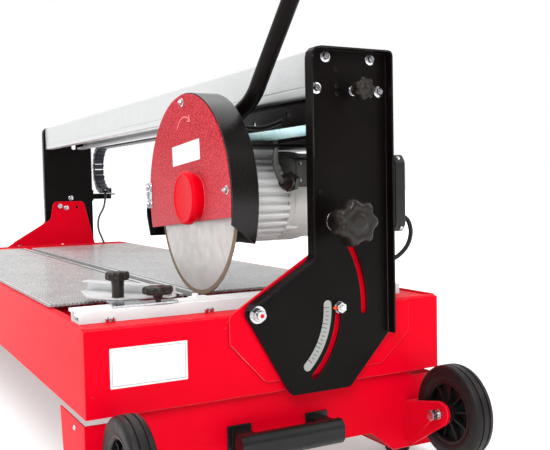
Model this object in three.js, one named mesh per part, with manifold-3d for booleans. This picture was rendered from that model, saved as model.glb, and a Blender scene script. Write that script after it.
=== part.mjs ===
// Bridge-type masonry saw: a red water tray on two folded end stands, and a bridge beam that
// tilts on the tray's ends and carries a sliding, plunging saw head with a 350 mm blade.
// Millimetres, +Z up. The exported group has its origin on the floor, in the middle of its footprint.
// Inside the machine group, x runs from the tray's left side, y from its near end (the end with
// the wheels) and z from its bottom edge, so that every sub-part is stated from the same corner.
import * as THREE from 'three';
import { mergeVertices } from 'three/addons/utils/BufferGeometryUtils.js';
import Module from 'manifold-3d';

const wasm = await Module();
wasm.setup();

// Tray and stands
const LENGTH = 1850;
const WIDTH = 648;
const TRAY_HEIGHT = 130;
const FLOOR_TO_TRAY = 160;
const SHEET = 3;
const GAP = 0.3;
const END_LIP = 140;
const SIDE_LIP = 22;
const CROSS_BAR = 25;
const CROSS_BAR_Y = [285, 750, 1215, 1670];
const STAND_INSET = 10;
const STAND_DEPTH = 142;
const FOOT_FLANGE_Z = -141;
const APRON_Z = -103;
const FOOT_Y = 58;
const FOOT_X = 50;

// Table halves on either side of the blade slot
const SLOT_X = [250, 296];
const TABLE_Y = [262, 1690];
const TABLE_THICKNESS = 6.4;

// Tilt pivot and the two plates on each end
const PIVOT = { x: 275, z: 131, r: 8 };
const FIXED_PLATE = { inner: -0.3, outer: -4.3 };
const BEVEL_PLATE = { inner: -8, outer: -12, rim: -30 };
const STOP = { radius: 153.6, angle: -0.5, r: 5 };
const CLAMP = { radius: 205, angle: 44, r: 5.2 };
const STOP_SLOT = { from: -46.7, to: 0.7, half: 5.6 };
const CLAMP_SLOT = { from: -3.2, to: 46, half: 5.8 };

// Bridge beam, an inverted channel
const BEAM = { left: 380, right: 521, bottom: 480, top: 556, wall: 4, lip: 22, lipThick: 8 };

// Saw head: everything turns about the arbor axis, which runs along x
const ARBOR = { y: 215, z: 315 };
const BLADE = { x: 272, r: 175, bore: 12.9, half: 1.5 };
const SHAFT_R = 12.5;
const GUARD = { front: 254.3, back: 303, r: 188, floor: 238 };
const COVER = { front: 251, back: 254, r: 186, drop: 45, slope: 4.6 };
const DRUM = { y: 168, z: 315.8, front: 226, r: 46.5, neck: 40 };
const MOTOR = { front: 305, back: 421, r: 85, root: 78, fins: 24 };
const BELL_BACK = 600;
const SWITCH_BOX = { front: 600.3, back: 679, halfY: 85, halfZ: 75, cutY: 10, cutZ: 14 };
const BUTTON = { r: 11, clearance: 0.4, z: 335, start: 190, stop: 240 };

// Plunge hinge of the head under the carriage
const PLUNGE = { y: 405, z: 430, r: 6 };
const CARRIAGE = { left: 388, right: 513, near: 12, far: 430, top: 470, bottom: 410 };
const ROLLER = { r: 12, bore: 4.4, axle: 4, near: 60, far: 370, width: 16 };

// Wheels at the near end
const WHEEL = { y: -87, z: -56, r: 80, width: 38, inset: 18, boltR: 5 };

// Mitre guide on the near rail
const RAIL = { x: [11, 610], y: [62, 122], z: [130.3, 149], bar: 46 };
const MITRE = { post: [98, 146], swing: -61.4, postR: 4, postTop: 182, clamp: [141, 74] };

const paint = (color, roughness, metalness) => (
  new THREE.MeshStandardMaterial({ color, roughness, metalness })
);
const RED = paint(0xd10a22, 0.45, 0.1);
const BLACK = paint(0x17171a, 0.5, 0.2);
const ALUMINIUM = paint(0xc9cacc, 0.4, 0.9);
const STEEL = paint(0xb8babd, 0.3, 1);
const RUBBER = paint(0x1c1c1e, 0.85, 0);
const PLASTIC = paint(0x101012, 0.55, 0);
const GREY = paint(0x8d8f92, 0.5, 0.6);
const MAT = paint(0x9a9a9b, 0.8, 0);
const WHITE = paint(0xe9e9e6, 0.6, 0);
const GREEN = paint(0x1c8a3a, 0.5, 0);

const radians = THREE.MathUtils.degToRad;

// A closed three.js geometry as a solid that can be joined and cut.
function toSolid(geometry) {
  const bare = geometry.index ? geometry.clone() : geometry;
  bare.deleteAttribute('normal');
  bare.deleteAttribute('uv');
  const merged = mergeVertices(bare, 1e-3);
  const corners = merged.index.array;
  const faces = [];
  for (let i = 0; i < corners.length; i += 3) {
    const [a, b, c] = corners.slice(i, i + 3);
    if (a !== b && b !== c && c !== a) faces.push(a, b, c);
  }
  return new wasm.Manifold(new wasm.Mesh({
    numProp: 3,
    vertProperties: new Float32Array(merged.attributes.position.array),
    triVerts: new Uint32Array(faces),
  }));
}

function toMesh(name, solid, material) {
  const { vertProperties, triVerts } = solid.getMesh();
  const geometry = new THREE.BufferGeometry();
  geometry.setAttribute('position', new THREE.BufferAttribute(vertProperties, 3));
  geometry.setIndex(new THREE.BufferAttribute(triVerts, 1));
  geometry.computeVertexNormals();
  const mesh = new THREE.Mesh(geometry, material);
  mesh.name = name;
  return mesh;
}

// A box between two values on each axis.
function block([x0, x1], [y0, y1], [z0, z1]) {
  const box = new THREE.BoxGeometry(x1 - x0, y1 - y0, z1 - z0);
  return toSolid(box.translate((x0 + x1) / 2, (y0 + y1) / 2, (z0 + z1) / 2));
}

// An outline from [u, v] corners; a third number cuts the corner back and rounds it.
function outline(corners) {
  const shape = new THREE.Shape();
  const step = ([x, y], [tx, ty], cut) => {
    const reach = Math.hypot(tx - x, ty - y);
    return [x + (tx - x) * cut / reach, y + (ty - y) * cut / reach];
  };
  corners.forEach((corner, i) => {
    const [x, y, cut = 0] = corner;
    const start = cut ? step(corner, corners.at(i - 1), cut) : [x, y];
    if (i === 0) shape.moveTo(...start);
    else shape.lineTo(...start);
    if (cut) shape.quadraticCurveTo(x, y, ...step(corner, corners[(i + 1) % corners.length], cut));
  });
  return shape;
}

// A curved slot or strip with round ends, about a centre, between two angles in degrees.
function arcBand(u, v, radius, half, from, to) {
  const [a0, a1] = [radians(from), radians(to)];
  const shape = new THREE.Shape();
  shape.absarc(u, v, radius + half, a0, a1, false);
  shape.absarc(u + radius * Math.cos(a1), v + radius * Math.sin(a1), half, a1, a1 + Math.PI, false);
  shape.absarc(u, v, radius - half, a1, a0, true);
  const start = [u + radius * Math.cos(a0), v + radius * Math.sin(a0)];
  shape.absarc(...start, half, a0 + Math.PI, a0 + 2 * Math.PI, false);
  return shape;
}

const AXES = {
  x: new THREE.Matrix4().set(0, 0, 1, 0, 1, 0, 0, 0, 0, 1, 0, 0, 0, 0, 0, 1),
  y: new THREE.Matrix4().set(1, 0, 0, 0, 0, 0, -1, 0, 0, 1, 0, 0, 0, 0, 0, 1),
  z: new THREE.Matrix4(),
};

// A shape pushed along an axis from low to high. The shape's two directions are the other two
// axes in order: (y, z) for x, (x, z) for y and (x, y) for z.
function prism(axis, shape, low, high, curveSegments = 4) {
  const depth = high - low;
  const geometry = new THREE.ExtrudeGeometry(shape, { depth, bevelEnabled: false, curveSegments });
  geometry.applyMatrix4(AXES[axis]);
  const start = { x: [low, 0, 0], y: [0, high, 0], z: [0, 0, low] }[axis];
  return toSolid(geometry.translate(...start));
}

// A profile of [radius, height] points turned about an axis; the heights run along that axis.
function turned(axis, profile, at, segments = 24) {
  const geometry = new THREE.LatheGeometry(profile.map(([r, h]) => new THREE.Vector2(r, h)), segments);
  if (axis === 'x') geometry.rotateZ(-Math.PI / 2);
  if (axis === 'z') geometry.rotateX(Math.PI / 2);
  return toSolid(geometry.translate(...at));
}

// A round bar, or a hexagon with 6 segments, along an axis.
function bar(axis, r, low, high, [u, v], segments = 12) {
  const at = { x: [0, u, v], y: [u, 0, v], z: [u, v, 0] }[axis];
  return turned(axis, [[0, low], [r, low], [r, high], [0, high]], at, segments);
}

const join = (...solids) => solids.reduce((sum, solid) => sum.add(solid));
const cut = (solid, ...tools) => tools.reduce((rest, tool) => rest.subtract(tool), solid);

// y values stated outwards from the near end, as a range for either end.
const atEnd = (end, a, b) => (end === 'front'
  ? [Math.min(a, b), Math.max(a, b)]
  : [LENGTH - Math.max(a, b), LENGTH - Math.min(a, b)]);

const onPivot = (radius, angle) => [
  PIVOT.x + radius * Math.cos(radians(angle)),
  PIVOT.z + radius * Math.sin(radians(angle)),
];

// ---- Tray, table and stands ----

function bodyTray() {
  const inside = [SHEET, WIDTH - SHEET];
  const insideY = [SHEET, LENGTH - SHEET];
  const openX = [SIDE_LIP, WIDTH - SIDE_LIP];
  const openY = [END_LIP, LENGTH - END_LIP];
  const tub = cut(
    block([0, WIDTH], [0, LENGTH], [0, TRAY_HEIGHT]),
    block(inside, insideY, [SHEET, TRAY_HEIGHT - SHEET]),
    block(openX, openY, [TRAY_HEIGHT - 2 * SHEET, TRAY_HEIGHT + SHEET]),
  );
  const lipTurnDown = cut(
    block([openX[0] - SHEET, openX[1] + SHEET], [openY[0] - SHEET, openY[1] + SHEET], [112, TRAY_HEIGHT]),
    block(openX, openY, [100, TRAY_HEIGHT + SHEET]),
  );
  const barTop = TRAY_HEIGHT;
  const bars = CROSS_BAR_Y.map((y) => cut(
    block(
      [SHEET - 1, WIDTH - SHEET + 1],
      [y - CROSS_BAR / 2, y + CROSS_BAR / 2],
      [barTop - CROSS_BAR, barTop],
    ),
    block([SLOT_X[0] - 8, SLOT_X[1] + 8], [y - CROSS_BAR, y + CROSS_BAR], [barTop - 18, barTop + 1]),
  ));
  return join(tub, lipTurnDown, ...bars);
}

function tableHalf([x0, x1]) {
  return block([x0, x1], TABLE_Y, [TRAY_HEIGHT + GAP, TRAY_HEIGHT + GAP + TABLE_THICKNESS]);
}

// One end stand: a folded panel with side flanges and two splayed corner feet.
function stand() {
  const y0 = STAND_INSET;
  const top = -SHEET;
  const drop = 8;
  const panel = prism('y', outline([
    [0, top - drop], [54, top - drop], [60, top],
    [WIDTH - 60, top], [WIDTH - 54, top - drop], [WIDTH, top - drop],
    [WIDTH, FOOT_FLANGE_Z], [WIDTH - 94, FOOT_FLANGE_Z, 4], [WIDTH - 141, APRON_Z, 6],
    [141, APRON_Z, 6], [94, FOOT_FLANGE_Z, 4], [0, FOOT_FLANGE_Z],
  ]), y0, y0 + SHEET);
  const side = (x) => prism('x', outline([
    [y0, top - drop], [y0 + STAND_DEPTH, top - drop],
    [y0 + STAND_DEPTH - 24, FOOT_FLANGE_Z], [y0, FOOT_FLANGE_Z],
  ]), x, x + SHEET);
  const foot = (x) => block([x, x + 94], [y0, y0 + 100], [FOOT_FLANGE_Z, FOOT_FLANGE_Z + SHEET]);
  const seat = block([60, WIDTH - 60], [y0, y0 + 50], [top - SHEET, top]);
  return join(panel, side(0), side(WIDTH - SHEET), foot(0), foot(WIDTH - 94), seat);
}

function rubberFoot() {
  const height = FLOOR_TO_TRAY + FOOT_FLANGE_Z - GAP;
  const profile = [[0, 0], [21, 0], [23, 3], [19, height - 3], [15, height], [0, height]];
  return turned('z', profile, [0, 0, 0], 14);
}

function carryHandle() {
  const [near, far] = [-50, STAND_INSET - GAP];
  const grip = prism('x', outline([
    [near, -60, 4], [near + 8, -50, 4], [near + 22, -50, 4], [near + 30, -60, 4],
    [near + 30, -80, 4], [near + 22, -90, 4], [near + 8, -90, 4], [near, -80, 4],
  ]), 228, 414, 3);
  const post = (x) => block([x, x + 26], [near + 20, far], [-86, -54]);
  const base = (x) => block([x - 8, x + 34], [far - 4, far], [-94, -46]);
  return join(grip, post(236), post(380), base(236), base(380));
}

function fenceRail() {
  const [y0, y1] = RAIL.y;
  const [z0, z1] = RAIL.z;
  return prism('x', outline([
    [y0, z0], [y0 + RAIL.bar, z0], [y0 + RAIL.bar, z1 - 5], [y1, z1 - 5], [y1, z1],
    [y0 + 21, z1], [y0 + 21, z1 - 3], [y0 + 24, z1 - 3], [y0 + 24, z1 - 8], [y0 + 10, z1 - 8],
    [y0 + 10, z1 - 3], [y0 + 13, z1 - 3], [y0 + 13, z1], [y0, z1, 1],
  ]), ...RAIL.x);
}

function waterPump() {
  const floor = SHEET + GAP;
  const plan = outline([[520, 1700, 12], [600, 1700, 12], [600, 1770, 12], [520, 1770, 12]]);
  const case_ = prism('z', plan, floor, 78);
  const volute = bar('z', 30, floor, 40, [545, 1690], 20);
  const outlet = bar('z', 7, 76, 100, [580, 1735], 16);
  return join(case_, volute, outlet);
}

// ---- End plates and their fasteners ----

const FIXED_OUTLINE = [
  [293, 18, 6], [521, 23, 6], [580, 74, 6], [580, 129, 4], [549, 131], [514, 280, 4], [504, 290, 4],
  [407, 290, 4], [397, 280, 4], [388, 226, 8], [369, 215, 6], [230, 131, 6], [230, 85, 6],
];

function fixedPlate(end) {
  const [low, high] = atEnd(end, FIXED_PLATE.inner, FIXED_PLATE.outer);
  const hole = (r, at) => bar('y', r + 0.5, low - 1, high + 1, at, 20);
  return cut(
    prism('y', outline(FIXED_OUTLINE), low, high, 3),
    hole(PIVOT.r, [PIVOT.x, PIVOT.z]),
    hole(STOP.r, onPivot(STOP.radius, STOP.angle)),
    hole(CLAMP.r, onPivot(CLAMP.radius, CLAMP.angle)),
    hole(4.6, [end === 'front' ? 474 : 485, 268]),
  );
}

// The right edge of each tilting plate, and its outline without and with the folded rim.
const BEVEL_RIGHT = { front: 533, rear: 547 };
const BEAM_KNOB = [462, 490];
const bevelOutline = (right) => [
  [372.5, 558.5, 20], [right, 558.5, 10], [right, 79, 4], [450, -8, 4], [337, -8, 6], [329, 2, 6],
  [264, 115], [252, 131, 10], [259.5, 147, 6], [366, 209, 5], [372.5, 218, 5],
];
const bevelHollow = (right) => [
  [375.5, 555.5, 18], [right - 3, 555.5, 8], [right - 3, 78], [560, 50], [460, -30], [320, -30],
  [235, 120], [261, 144.4], [368.5, 206.5, 5], [375.5, 217, 5],
];

// A tilting end plate: a pan whose rim is folded outwards on its top, sides and shoulder.
function bevelPlate(end) {
  const [low, high] = atEnd(end, BEVEL_PLATE.inner, BEVEL_PLATE.rim);
  const hollow = atEnd(end, BEVEL_PLATE.outer, BEVEL_PLATE.rim - 1);
  const right = BEVEL_RIGHT[end];
  const through = (shape) => prism('y', shape, low - 1, high + 1, 6);
  const hole = (r, at) => bar('y', r, low - 1, high + 1, at);
  const holes = [
    hole(PIVOT.r + 0.6, [PIVOT.x, PIVOT.z]),
    through(arcBand(PIVOT.x, PIVOT.z, STOP.radius, STOP_SLOT.half, STOP_SLOT.from, STOP_SLOT.to)),
    through(arcBand(PIVOT.x, PIVOT.z, CLAMP.radius, CLAMP_SLOT.half, CLAMP_SLOT.from, CLAMP_SLOT.to)),
  ];
  if (end === 'front') holes.push(hole(4.5, BEAM_KNOB));
  else {
    holes.push(through(outline([
      [474.5, 480, 7.4], [489.5, 480, 7.4], [489.5, 512, 7.4], [474.5, 512, 7.4],
    ])));
    holes.push(hole(8, [466, 302]));
  }
  return cut(
    prism('y', outline(bevelOutline(right)), low, high, 3),
    prism('y', outline(bevelHollow(right)), ...hollow, 3),
    ...holes,
  );
}

// A welded stud with a washer and a nut outside the tilting plate, built outwards along -y.
function studAndNut(at, { r, washer, nut, tip }) {
  const face = BEVEL_PLATE.outer - GAP;
  return join(
    bar('y', r, tip, FIXED_PLATE.inner - GAP, at, 16),
    bar('y', washer, face - 3, face, at, 20),
    bar('y', nut.r, face - 3 - nut.h, face - 2, at, 6),
  );
}

// The clamp stud: its head is behind the fixed plate, and the star knob sits on its free end.
function lockStud() {
  const at = onPivot(CLAMP.radius, CLAMP.angle);
  const face = BEVEL_PLATE.outer - GAP;
  return join(
    bar('y', CLAMP.r, -52, 1, at, 16),
    bar('y', 9.5, 0, 7, at, 6),
    bar('y', 17, face - 3, face, at, 20),
  );
}

// A star knob along -y from the origin: a stem, a lobed head and a blind bore for its stud.
function starKnob({ lobes, r, back, front, stemR, stemFrom, bore, boreTo, dip = 0.13 }) {
  const shape = new THREE.Shape();
  const steps = lobes * 4;
  for (let i = 0; i < steps; i += 1) {
    const turn = (2 * Math.PI * i) / steps;
    const reach = r * (1 - dip + dip * Math.cos(lobes * turn));
    const point = [reach * Math.cos(turn), reach * Math.sin(turn)];
    if (i === 0) shape.moveTo(...point);
    else shape.lineTo(...point);
  }
  shape.closePath();
  const soft = 0.12 * r;
  const head = toSolid(new THREE.ExtrudeGeometry(shape, {
    depth: back - front - 2 * soft,
    bevelSize: soft,
    bevelThickness: soft,
    bevelOffset: -soft,
    bevelSegments: 1,
  }).applyMatrix4(AXES.y).translate(0, back - soft, 0));
  const stem = bar('y', stemR, back - soft, stemFrom, [0, 0], 16);
  const solid = join(head, stem);
  return bore ? cut(solid, bar('y', bore, boreTo, stemFrom + 1, [0, 0], 16)) : solid;
}

// ---- Bridge ----

function bridgeBeam() {
  const { left, right, bottom, top, wall, lip, lipThick } = BEAM;
  const outer = outline([
    [left, bottom, 4], [right, bottom, 4], [right, top - 5, 3], [right - 4, top, 3],
    [left + 4, top, 3], [left, top - 5, 3],
  ]);
  const inner = outline([
    [left + wall, bottom + lipThick, 2], [right - wall, bottom + lipThick, 2], [right - wall, top - 7, 1],
    [right - 6, top - wall, 1], [left + 6, top - wall, 1], [left + wall, top - 7, 1],
  ]);
  const [low, high] = [BEVEL_PLATE.inner + GAP, LENGTH - BEVEL_PLATE.inner - GAP];
  const groove = (x) => block([x - 1.4, x + 1.4], [low - 1, high + 1], [bottom + 13, bottom + 16]);
  return cut(
    prism('y', outer, low, high, 4),
    prism('y', inner, low - 1, high + 1, 4),
    block(
      [left + wall + lip, right - wall - lip],
      [low - 1, high + 1],
      [bottom - 1, bottom + lipThick + 1],
    ),
    groove(left),
    groove(right),
  );
}

function angleScale() {
  const shape = arcBand(PIVOT.x, PIVOT.z, 131, 7.5, -46, 2);
  return prism('y', shape, BEVEL_PLATE.outer - GAP - 1.2, BEVEL_PLATE.outer - GAP, 8);
}

// The angle that holds the fixed end of the cable chain beside the far tilting plate.
function chainBracket() {
  const x = BEVEL_RIGHT.rear + GAP;
  const y = LENGTH + 10;
  return join(
    block([x, x + 4], [y - 2, y + 16], [290, 330]),
    block([x, x + 72], [y - 2, y + 2], [296, 316]),
    block([x + 20, x + 68], [y - 60, y + 2], [312, 316]),
  );
}

// The cable chain: a long upper run beside the beam and a half turn down to its bracket.
function cableChain() {
  const [x0, x1] = [571, 611];
  const [bendY, midZ, inner, outer] = [1838, 410, 74, 92];
  const upper = block([x0, x1], [470, bendY + 0.01], [midZ + inner, midZ + outer]);
  const lower = block([x0, x1], [bendY - 34, bendY + 0.01], [midZ - outer + 0.5, midZ - inner]);
  const bend = new THREE.Shape();
  bend.absarc(bendY, midZ, outer, -Math.PI / 2, Math.PI / 2, false);
  bend.absarc(bendY, midZ, inner, Math.PI / 2, -Math.PI / 2, true);
  return join(upper, lower, prism('x', bend, x0, x1, 10));
}

// ---- Carriage ----

function carriageFrame() {
  const { left, right, near, far, top, bottom } = CARRIAGE;
  const thick = 3;
  const roof = block([left, right], [near, far], [top - 4, top]);
  const hole = (y, z, r) => bar('x', r, left - 1, right + 1, [y, z], 12);
  const longShape = outline([[64, 452, 5], [86, 452, 5], [86, 462, 5], [64, 462, 5]]);
  const longHole = prism('x', longShape, left - 1, right + 1, 3);
  const sidePlate = (x) => cut(
    prism('x', outline([[near, bottom, 10], [far, bottom, 10], [far, top], [near, top]]), x, x + thick, 3),
    longHole, hole(130, 440, 5), hole(205, 448, 6), hole(290, 448, 6),
    hole(PLUNGE.y, PLUNGE.z, PLUNGE.r + 0.6),
  );
  const fold = (x) => block([x, x + 14], [near + 12, far - 60], [bottom, bottom + thick]);
  const stem = block([BEAM.left + 34, BEAM.right - 34], [near + 18, far - 30], [top - 1, 508]);
  const axleZ = BEAM.bottom + BEAM.lipThick + GAP + ROLLER.r;
  const axle = (y) => bar('x', ROLLER.axle, BEAM.left + 6, BEAM.right - 6, [y, axleZ], 12);
  return join(
    roof, sidePlate(left), sidePlate(right - thick), fold(left), fold(right - 14), stem,
    axle(ROLLER.near), axle(ROLLER.far),
  );
}

function roller() {
  const { r, bore, width } = ROLLER;
  return turned('x', [[bore, 0], [r, 0], [r, width], [bore, width], [bore, 0]], [0, 0, 0], 20);
}

function plungeShaft() {
  const { left, right } = CARRIAGE;
  const { r, y, z } = PLUNGE;
  return turned('x', [
    [0, left - 6], [9, left - 6], [9, left - GAP], [r, left - GAP],
    [r, right + GAP], [9, right + GAP], [9, right + 5], [0, right + 5],
  ], [0, y, z], 16);
}

// ---- Saw head ----

function headPlate() {
  const lug = (x) => cut(
    join(block([x, x + 5], [PLUNGE.y - 14, PLUNGE.y + 14], [401, PLUNGE.z]),
      bar('x', 14, x, x + 5, [PLUNGE.y, PLUNGE.z], 16)),
    bar('x', PLUNGE.r + 0.5, x - 1, x + 6, [PLUNGE.y, PLUNGE.z], 16),
  );
  const plan = outline([[306, 90, 12], [520, 90, 12], [520, 400, 4], [306, 400, 12]]);
  const plate = prism('z', plan, 401.2, 406.2, 4);
  const tongue = block([396, 505], [398, PLUNGE.y + 14], [401.2, 406.2]);
  return join(plate, tongue, lug(397), lug(499));
}

function motorBody() {
  const { front, back, r, root, fins } = MOTOR;
  const shape = new THREE.Shape();
  for (let i = 0; i < fins; i += 1) {
    const pitch = (2 * Math.PI) / fins;
    [[root, 0.05], [r, 0.12], [r, 0.42], [root, 0.5]].forEach(([reach, share], corner) => {
      const turn = pitch * (i + share);
      const point = [ARBOR.y + reach * Math.cos(turn), ARBOR.z + reach * Math.sin(turn)];
      if (i === 0 && corner === 0) shape.moveTo(...point);
      else shape.lineTo(...point);
    });
  }
  const body = prism('x', shape, front, back);
  const flange = bar('x', 82, front, front + 12, [ARBOR.y, ARBOR.z], 32);
  const pad = block([front + 20, back - 10], [ARBOR.y - 38, ARBOR.y + 38], [ARBOR.z + 70, 400.9]);
  const bore = bar('x', SHAFT_R + 0.4, front - 1, front + 30, [ARBOR.y, ARBOR.z], 24);
  return cut(join(body, flange, pad), bore);
}

function motorEndBell() {
  const start = MOTOR.back + GAP;
  return turned('x', [
    [0, start], [84, start], [85, start + 4], [85, BELL_BACK - 62], [80, BELL_BACK - 34],
    [78, BELL_BACK - 8], [70, BELL_BACK], [0, BELL_BACK],
  ], [0, ARBOR.y, ARBOR.z], 32);
}

function switchBox() {
  const { front, back, halfY, halfZ, cutY, cutZ } = SWITCH_BOX;
  const [y0, y1] = [ARBOR.y - halfY, ARBOR.y + halfY];
  const [z0, z1] = [ARBOR.z - halfZ, ARBOR.z + halfZ];
  const face = (inset) => outline([
    [y0 + cutY, z0 + inset, 4], [y1 - cutY, z0 + inset, 4], [y1 - inset, z0 + cutZ, 4],
    [y1 - inset, z1 - cutZ, 4], [y1 - cutY, z1 - inset, 4], [y0 + cutY, z1 - inset, 4],
    [y0 + inset, z1 - cutZ, 4], [y0 + inset, z0 + cutZ, 4],
  ]);
  const lidSeam = back - 24;
  const body = join(
    prism('x', face(0), lidSeam + 1, back, 2),
    prism('x', face(2), lidSeam - 1.5, lidSeam + 1.5, 2),
    prism('x', face(0), front, lidSeam - 1, 2),
  );
  const well = (y) => bar('x', BUTTON.r + BUTTON.clearance, back - 15, back + 1, [y, BUTTON.z], 24);
  return cut(body, well(BUTTON.start), well(BUTTON.stop));
}

function pushButton() {
  const profile = [[0, 0], [BUTTON.r, 0], [BUTTON.r, 12.5], [BUTTON.r - 2, 15], [0, 15.5]];
  return turned('x', profile, [0, 0, 0], 14);
}

function terminalBox() {
  const box = prism('x', outline([
    [102, 337, 2], [102, 376, 4], [110, 384, 4], [155, 384], [155, 331], [108, 331, 2],
  ]), 411, 501, 4);
  return cut(box, bar('x', MOTOR.r + 2 * GAP, 400, 512, [ARBOR.y, ARBOR.z], 72));
}

// The black guard: a back wall and a rolled rim over the blade, open below, with a splash
// lobe on its far lower side.
function guardShell() {
  const { front, back, r, floor } = GUARD;
  const centre = [ARBOR.y, ARBOR.z];
  const lobe = prism('x', outline([
    [372, 334], [404, 330, 6], [434, 300, 5], [436, 280, 4], [417, floor], [370, floor],
  ]), front, back);
  const hollowLobe = prism('x', outline([
    [364, 329], [401, 324], [429, 297], [431, 280], [410, 230], [360, 230],
  ]), front - 1, back - SHEET);
  const drum = join(bar('x', r, front, back, centre, 48), lobe);
  const inside = join(bar('x', r - SHEET, front - 1, back - SHEET, centre, 48), hollowLobe);
  const below = block([front - 2, back + 2], [0, 450], [100, floor]);
  const slant = outline([[front - 2, 100], [front - 2, 284], [back, 243], [back, 100]]);
  const nearSlant = prism('y', slant, 0, 130);
  const shaftHole = bar('x', 42, back - SHEET - 1, back + 1, centre, 20);
  return cut(drum, inside, below, nearSlant, shaftHole);
}

// The red guard cover with its round drum beside the blade's nut.
function guardCover() {
  const { front, back, r, drop, slope } = COVER;
  const rise = Math.tan(radians(slope));
  const edge = (y) => ARBOR.z - drop - (y - ARBOR.y) * rise;
  const plate = bar('x', r, front, back, [ARBOR.y, ARBOR.z], 48);
  const lower = outline([[0, edge(0)], [450, edge(450)], [450, 50], [0, 50]]);
  const below = prism('x', lower, front - 1, back + 1);
  const at = [0, DRUM.y, DRUM.z];
  const { front: end, r: wide, neck } = DRUM;
  const drum = turned('x', [
    [0, end], [40, end], [44, end + 1.5], [wide, end + 4.5], [wide, 239],
    [neck, 248], [neck, back], [0, back],
  ], at, 28);
  const well = turned('x', [
    [0, end + 3], [39, end + 3], [wide - 3, end + 6], [wide - 3, 238], [neck - 3, 247], [neck - 3, back + 1],
    [0, back + 1],
  ], at, 28);
  return cut(join(cut(plate, below), drum), well);
}

// A bent tube that rises from the head plate beside the beam and leans to the near end.
function pullHandle() {
  const x = 330;
  const points = [[262, 421], [205, 443], [150, 464], [113, 477], [86, 493], [66, 513]];
  const bend = new THREE.CatmullRomCurve3(points.map(([y, z]) => new THREE.Vector3(x, y, z)));
  const path = new THREE.CurvePath();
  path.add(bend);
  path.add(new THREE.LineCurve3(new THREE.Vector3(x, 66, 513), new THREE.Vector3(x, -172, 760)));
  const section = new THREE.Shape().absarc(0, 0, 14, 0, 2 * Math.PI, false);
  const sweep = { steps: 30, curveSegments: 6, extrudePath: path };
  const tube = toSolid(new THREE.ExtrudeGeometry(section, sweep));
  const saddle = block([316, 344], [214, 262], [406.2 + GAP, 424]);
  return join(tube, saddle);
}

function sawBlade() {
  const { r, bore } = BLADE;
  return turned('x', [
    [bore, -BLADE.half], [r, -BLADE.half], [r, BLADE.half], [bore, BLADE.half], [bore, -BLADE.half],
  ], [BLADE.x, ARBOR.y, ARBOR.z], 56);
}

function motorShaft() {
  const flange = BLADE.x + BLADE.half + GAP;
  return turned('x', [
    [0, 256], [SHAFT_R, 256], [SHAFT_R, flange], [40, flange], [40, flange + 5],
    [SHAFT_R, flange + 9], [SHAFT_R, MOTOR.front + 27], [0, MOTOR.front + 27],
  ], [0, ARBOR.y, ARBOR.z], 24);
}

function bladeNut() {
  const flange = BLADE.x - BLADE.half - GAP;
  const centre = [ARBOR.y, ARBOR.z];
  const washer = turned('x', [
    [0, flange - 6], [34, flange - 6], [40, flange - 3], [40, flange], [0, flange],
  ], [0, ...centre]);
  return cut(
    join(bar('x', 18, flange - 13, flange - 5, centre, 6), washer),
    bar('x', SHAFT_R + GAP, flange - 20, flange + 1, centre, 24),
  );
}

// ---- Wheels ----

function tyre() {
  const half = WHEEL.width / 2;
  return turned('x', [
    [54, 2 - half], [70, -half], [77, 2 - half], [WHEEL.r, 7 - half],
    [WHEEL.r, half - 7], [77, half - 2], [70, half], [54, half - 2], [54, 2 - half],
  ], [0, 0, 0], 30);
}

function wheelHub() {
  const half = WHEEL.width / 2;
  const rim = turned('x', [[48, -15], [53.3, -15], [53.3, 15], [48, 15], [48, -15]], [0, 0, 0], 24);
  const barrel = bar('x', 15, 0.5 - half, half - 0.5, [0, 0], 16);
  const web = bar('x', 49, -2, 2, [0, 0], 24);
  const spokes = Array.from({ length: 9 }, (_, i) => {
    const wedge = block([-11, 11], [12, 49], [-1.8, 1.8]);
    return wedge.rotate([(360 * i) / 9, 0, 0]);
  });
  return cut(join(rim, barrel, web, ...spokes), bar('x', WHEEL.boltR + GAP, -half - 1, half + 1, [0, 0]));
}

// A wheel bracket on the near stand. side is +1 for the right wheel and -1 for the left.
function wheelBracket(side) {
  const far = STAND_INSET - GAP;
  const { y, z } = WHEEL;
  const inner = WHEEL.inset + WHEEL.width + 5;
  const plateX = side > 0 ? [WIDTH - inner - 6, WIDTH - inner] : [inner, inner + 6];
  const flangeX = side > 0 ? [WIDTH - inner - 6, WIDTH - inner + 38] : [inner - 38, inner + 6];
  const plate = prism('x', outline([
    [far, -55], [y + 4, z + 20, 4], [y - 14, z + 15, 6], [y - 20, z, 7], [y - 14, z - 15, 6],
    [-10, -129, 6], [far, -129],
  ]), ...plateX);
  const flange = block(flangeX, [far - 4, far], [-129, -55]);
  return cut(join(plate, flange), bar('x', WHEEL.boltR + GAP, plateX[0] - 1, plateX[1] + 1, [y, z]));
}

// The axle bolt, from its head inside the bracket to its nut outside the wheel, along +x.
function axleBolt() {
  const inner = -(WHEEL.width / 2 + 5 + 6 + GAP);
  const outer = WHEEL.width / 2 + 0.6;
  return join(
    bar('x', WHEEL.boltR, inner - 20, outer + 10, [0, 0]),
    bar('x', 9.5, inner - 22, inner - 14, [0, 0], 6),
    bar('x', 9.5, inner - 7, inner, [0, 0], 6),
    bar('x', 9.5, outer, outer + 7, [0, 0], 6),
  );
}

// ---- Mitre guide ----

function mitreSlider() {
  const z = RAIL.z[1] + GAP;
  const plate = prism('z', outline([
    [66, 70, 4], [176, 70, 4], [176, 100, 4], [126, 104, 6], [118, 162, 10], [80, 162, 10], [72, 104, 6],
  ]), z, z + 3.2);
  return join(plate, bar('z', MITRE.postR, z, MITRE.postTop, MITRE.post));
}

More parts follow.
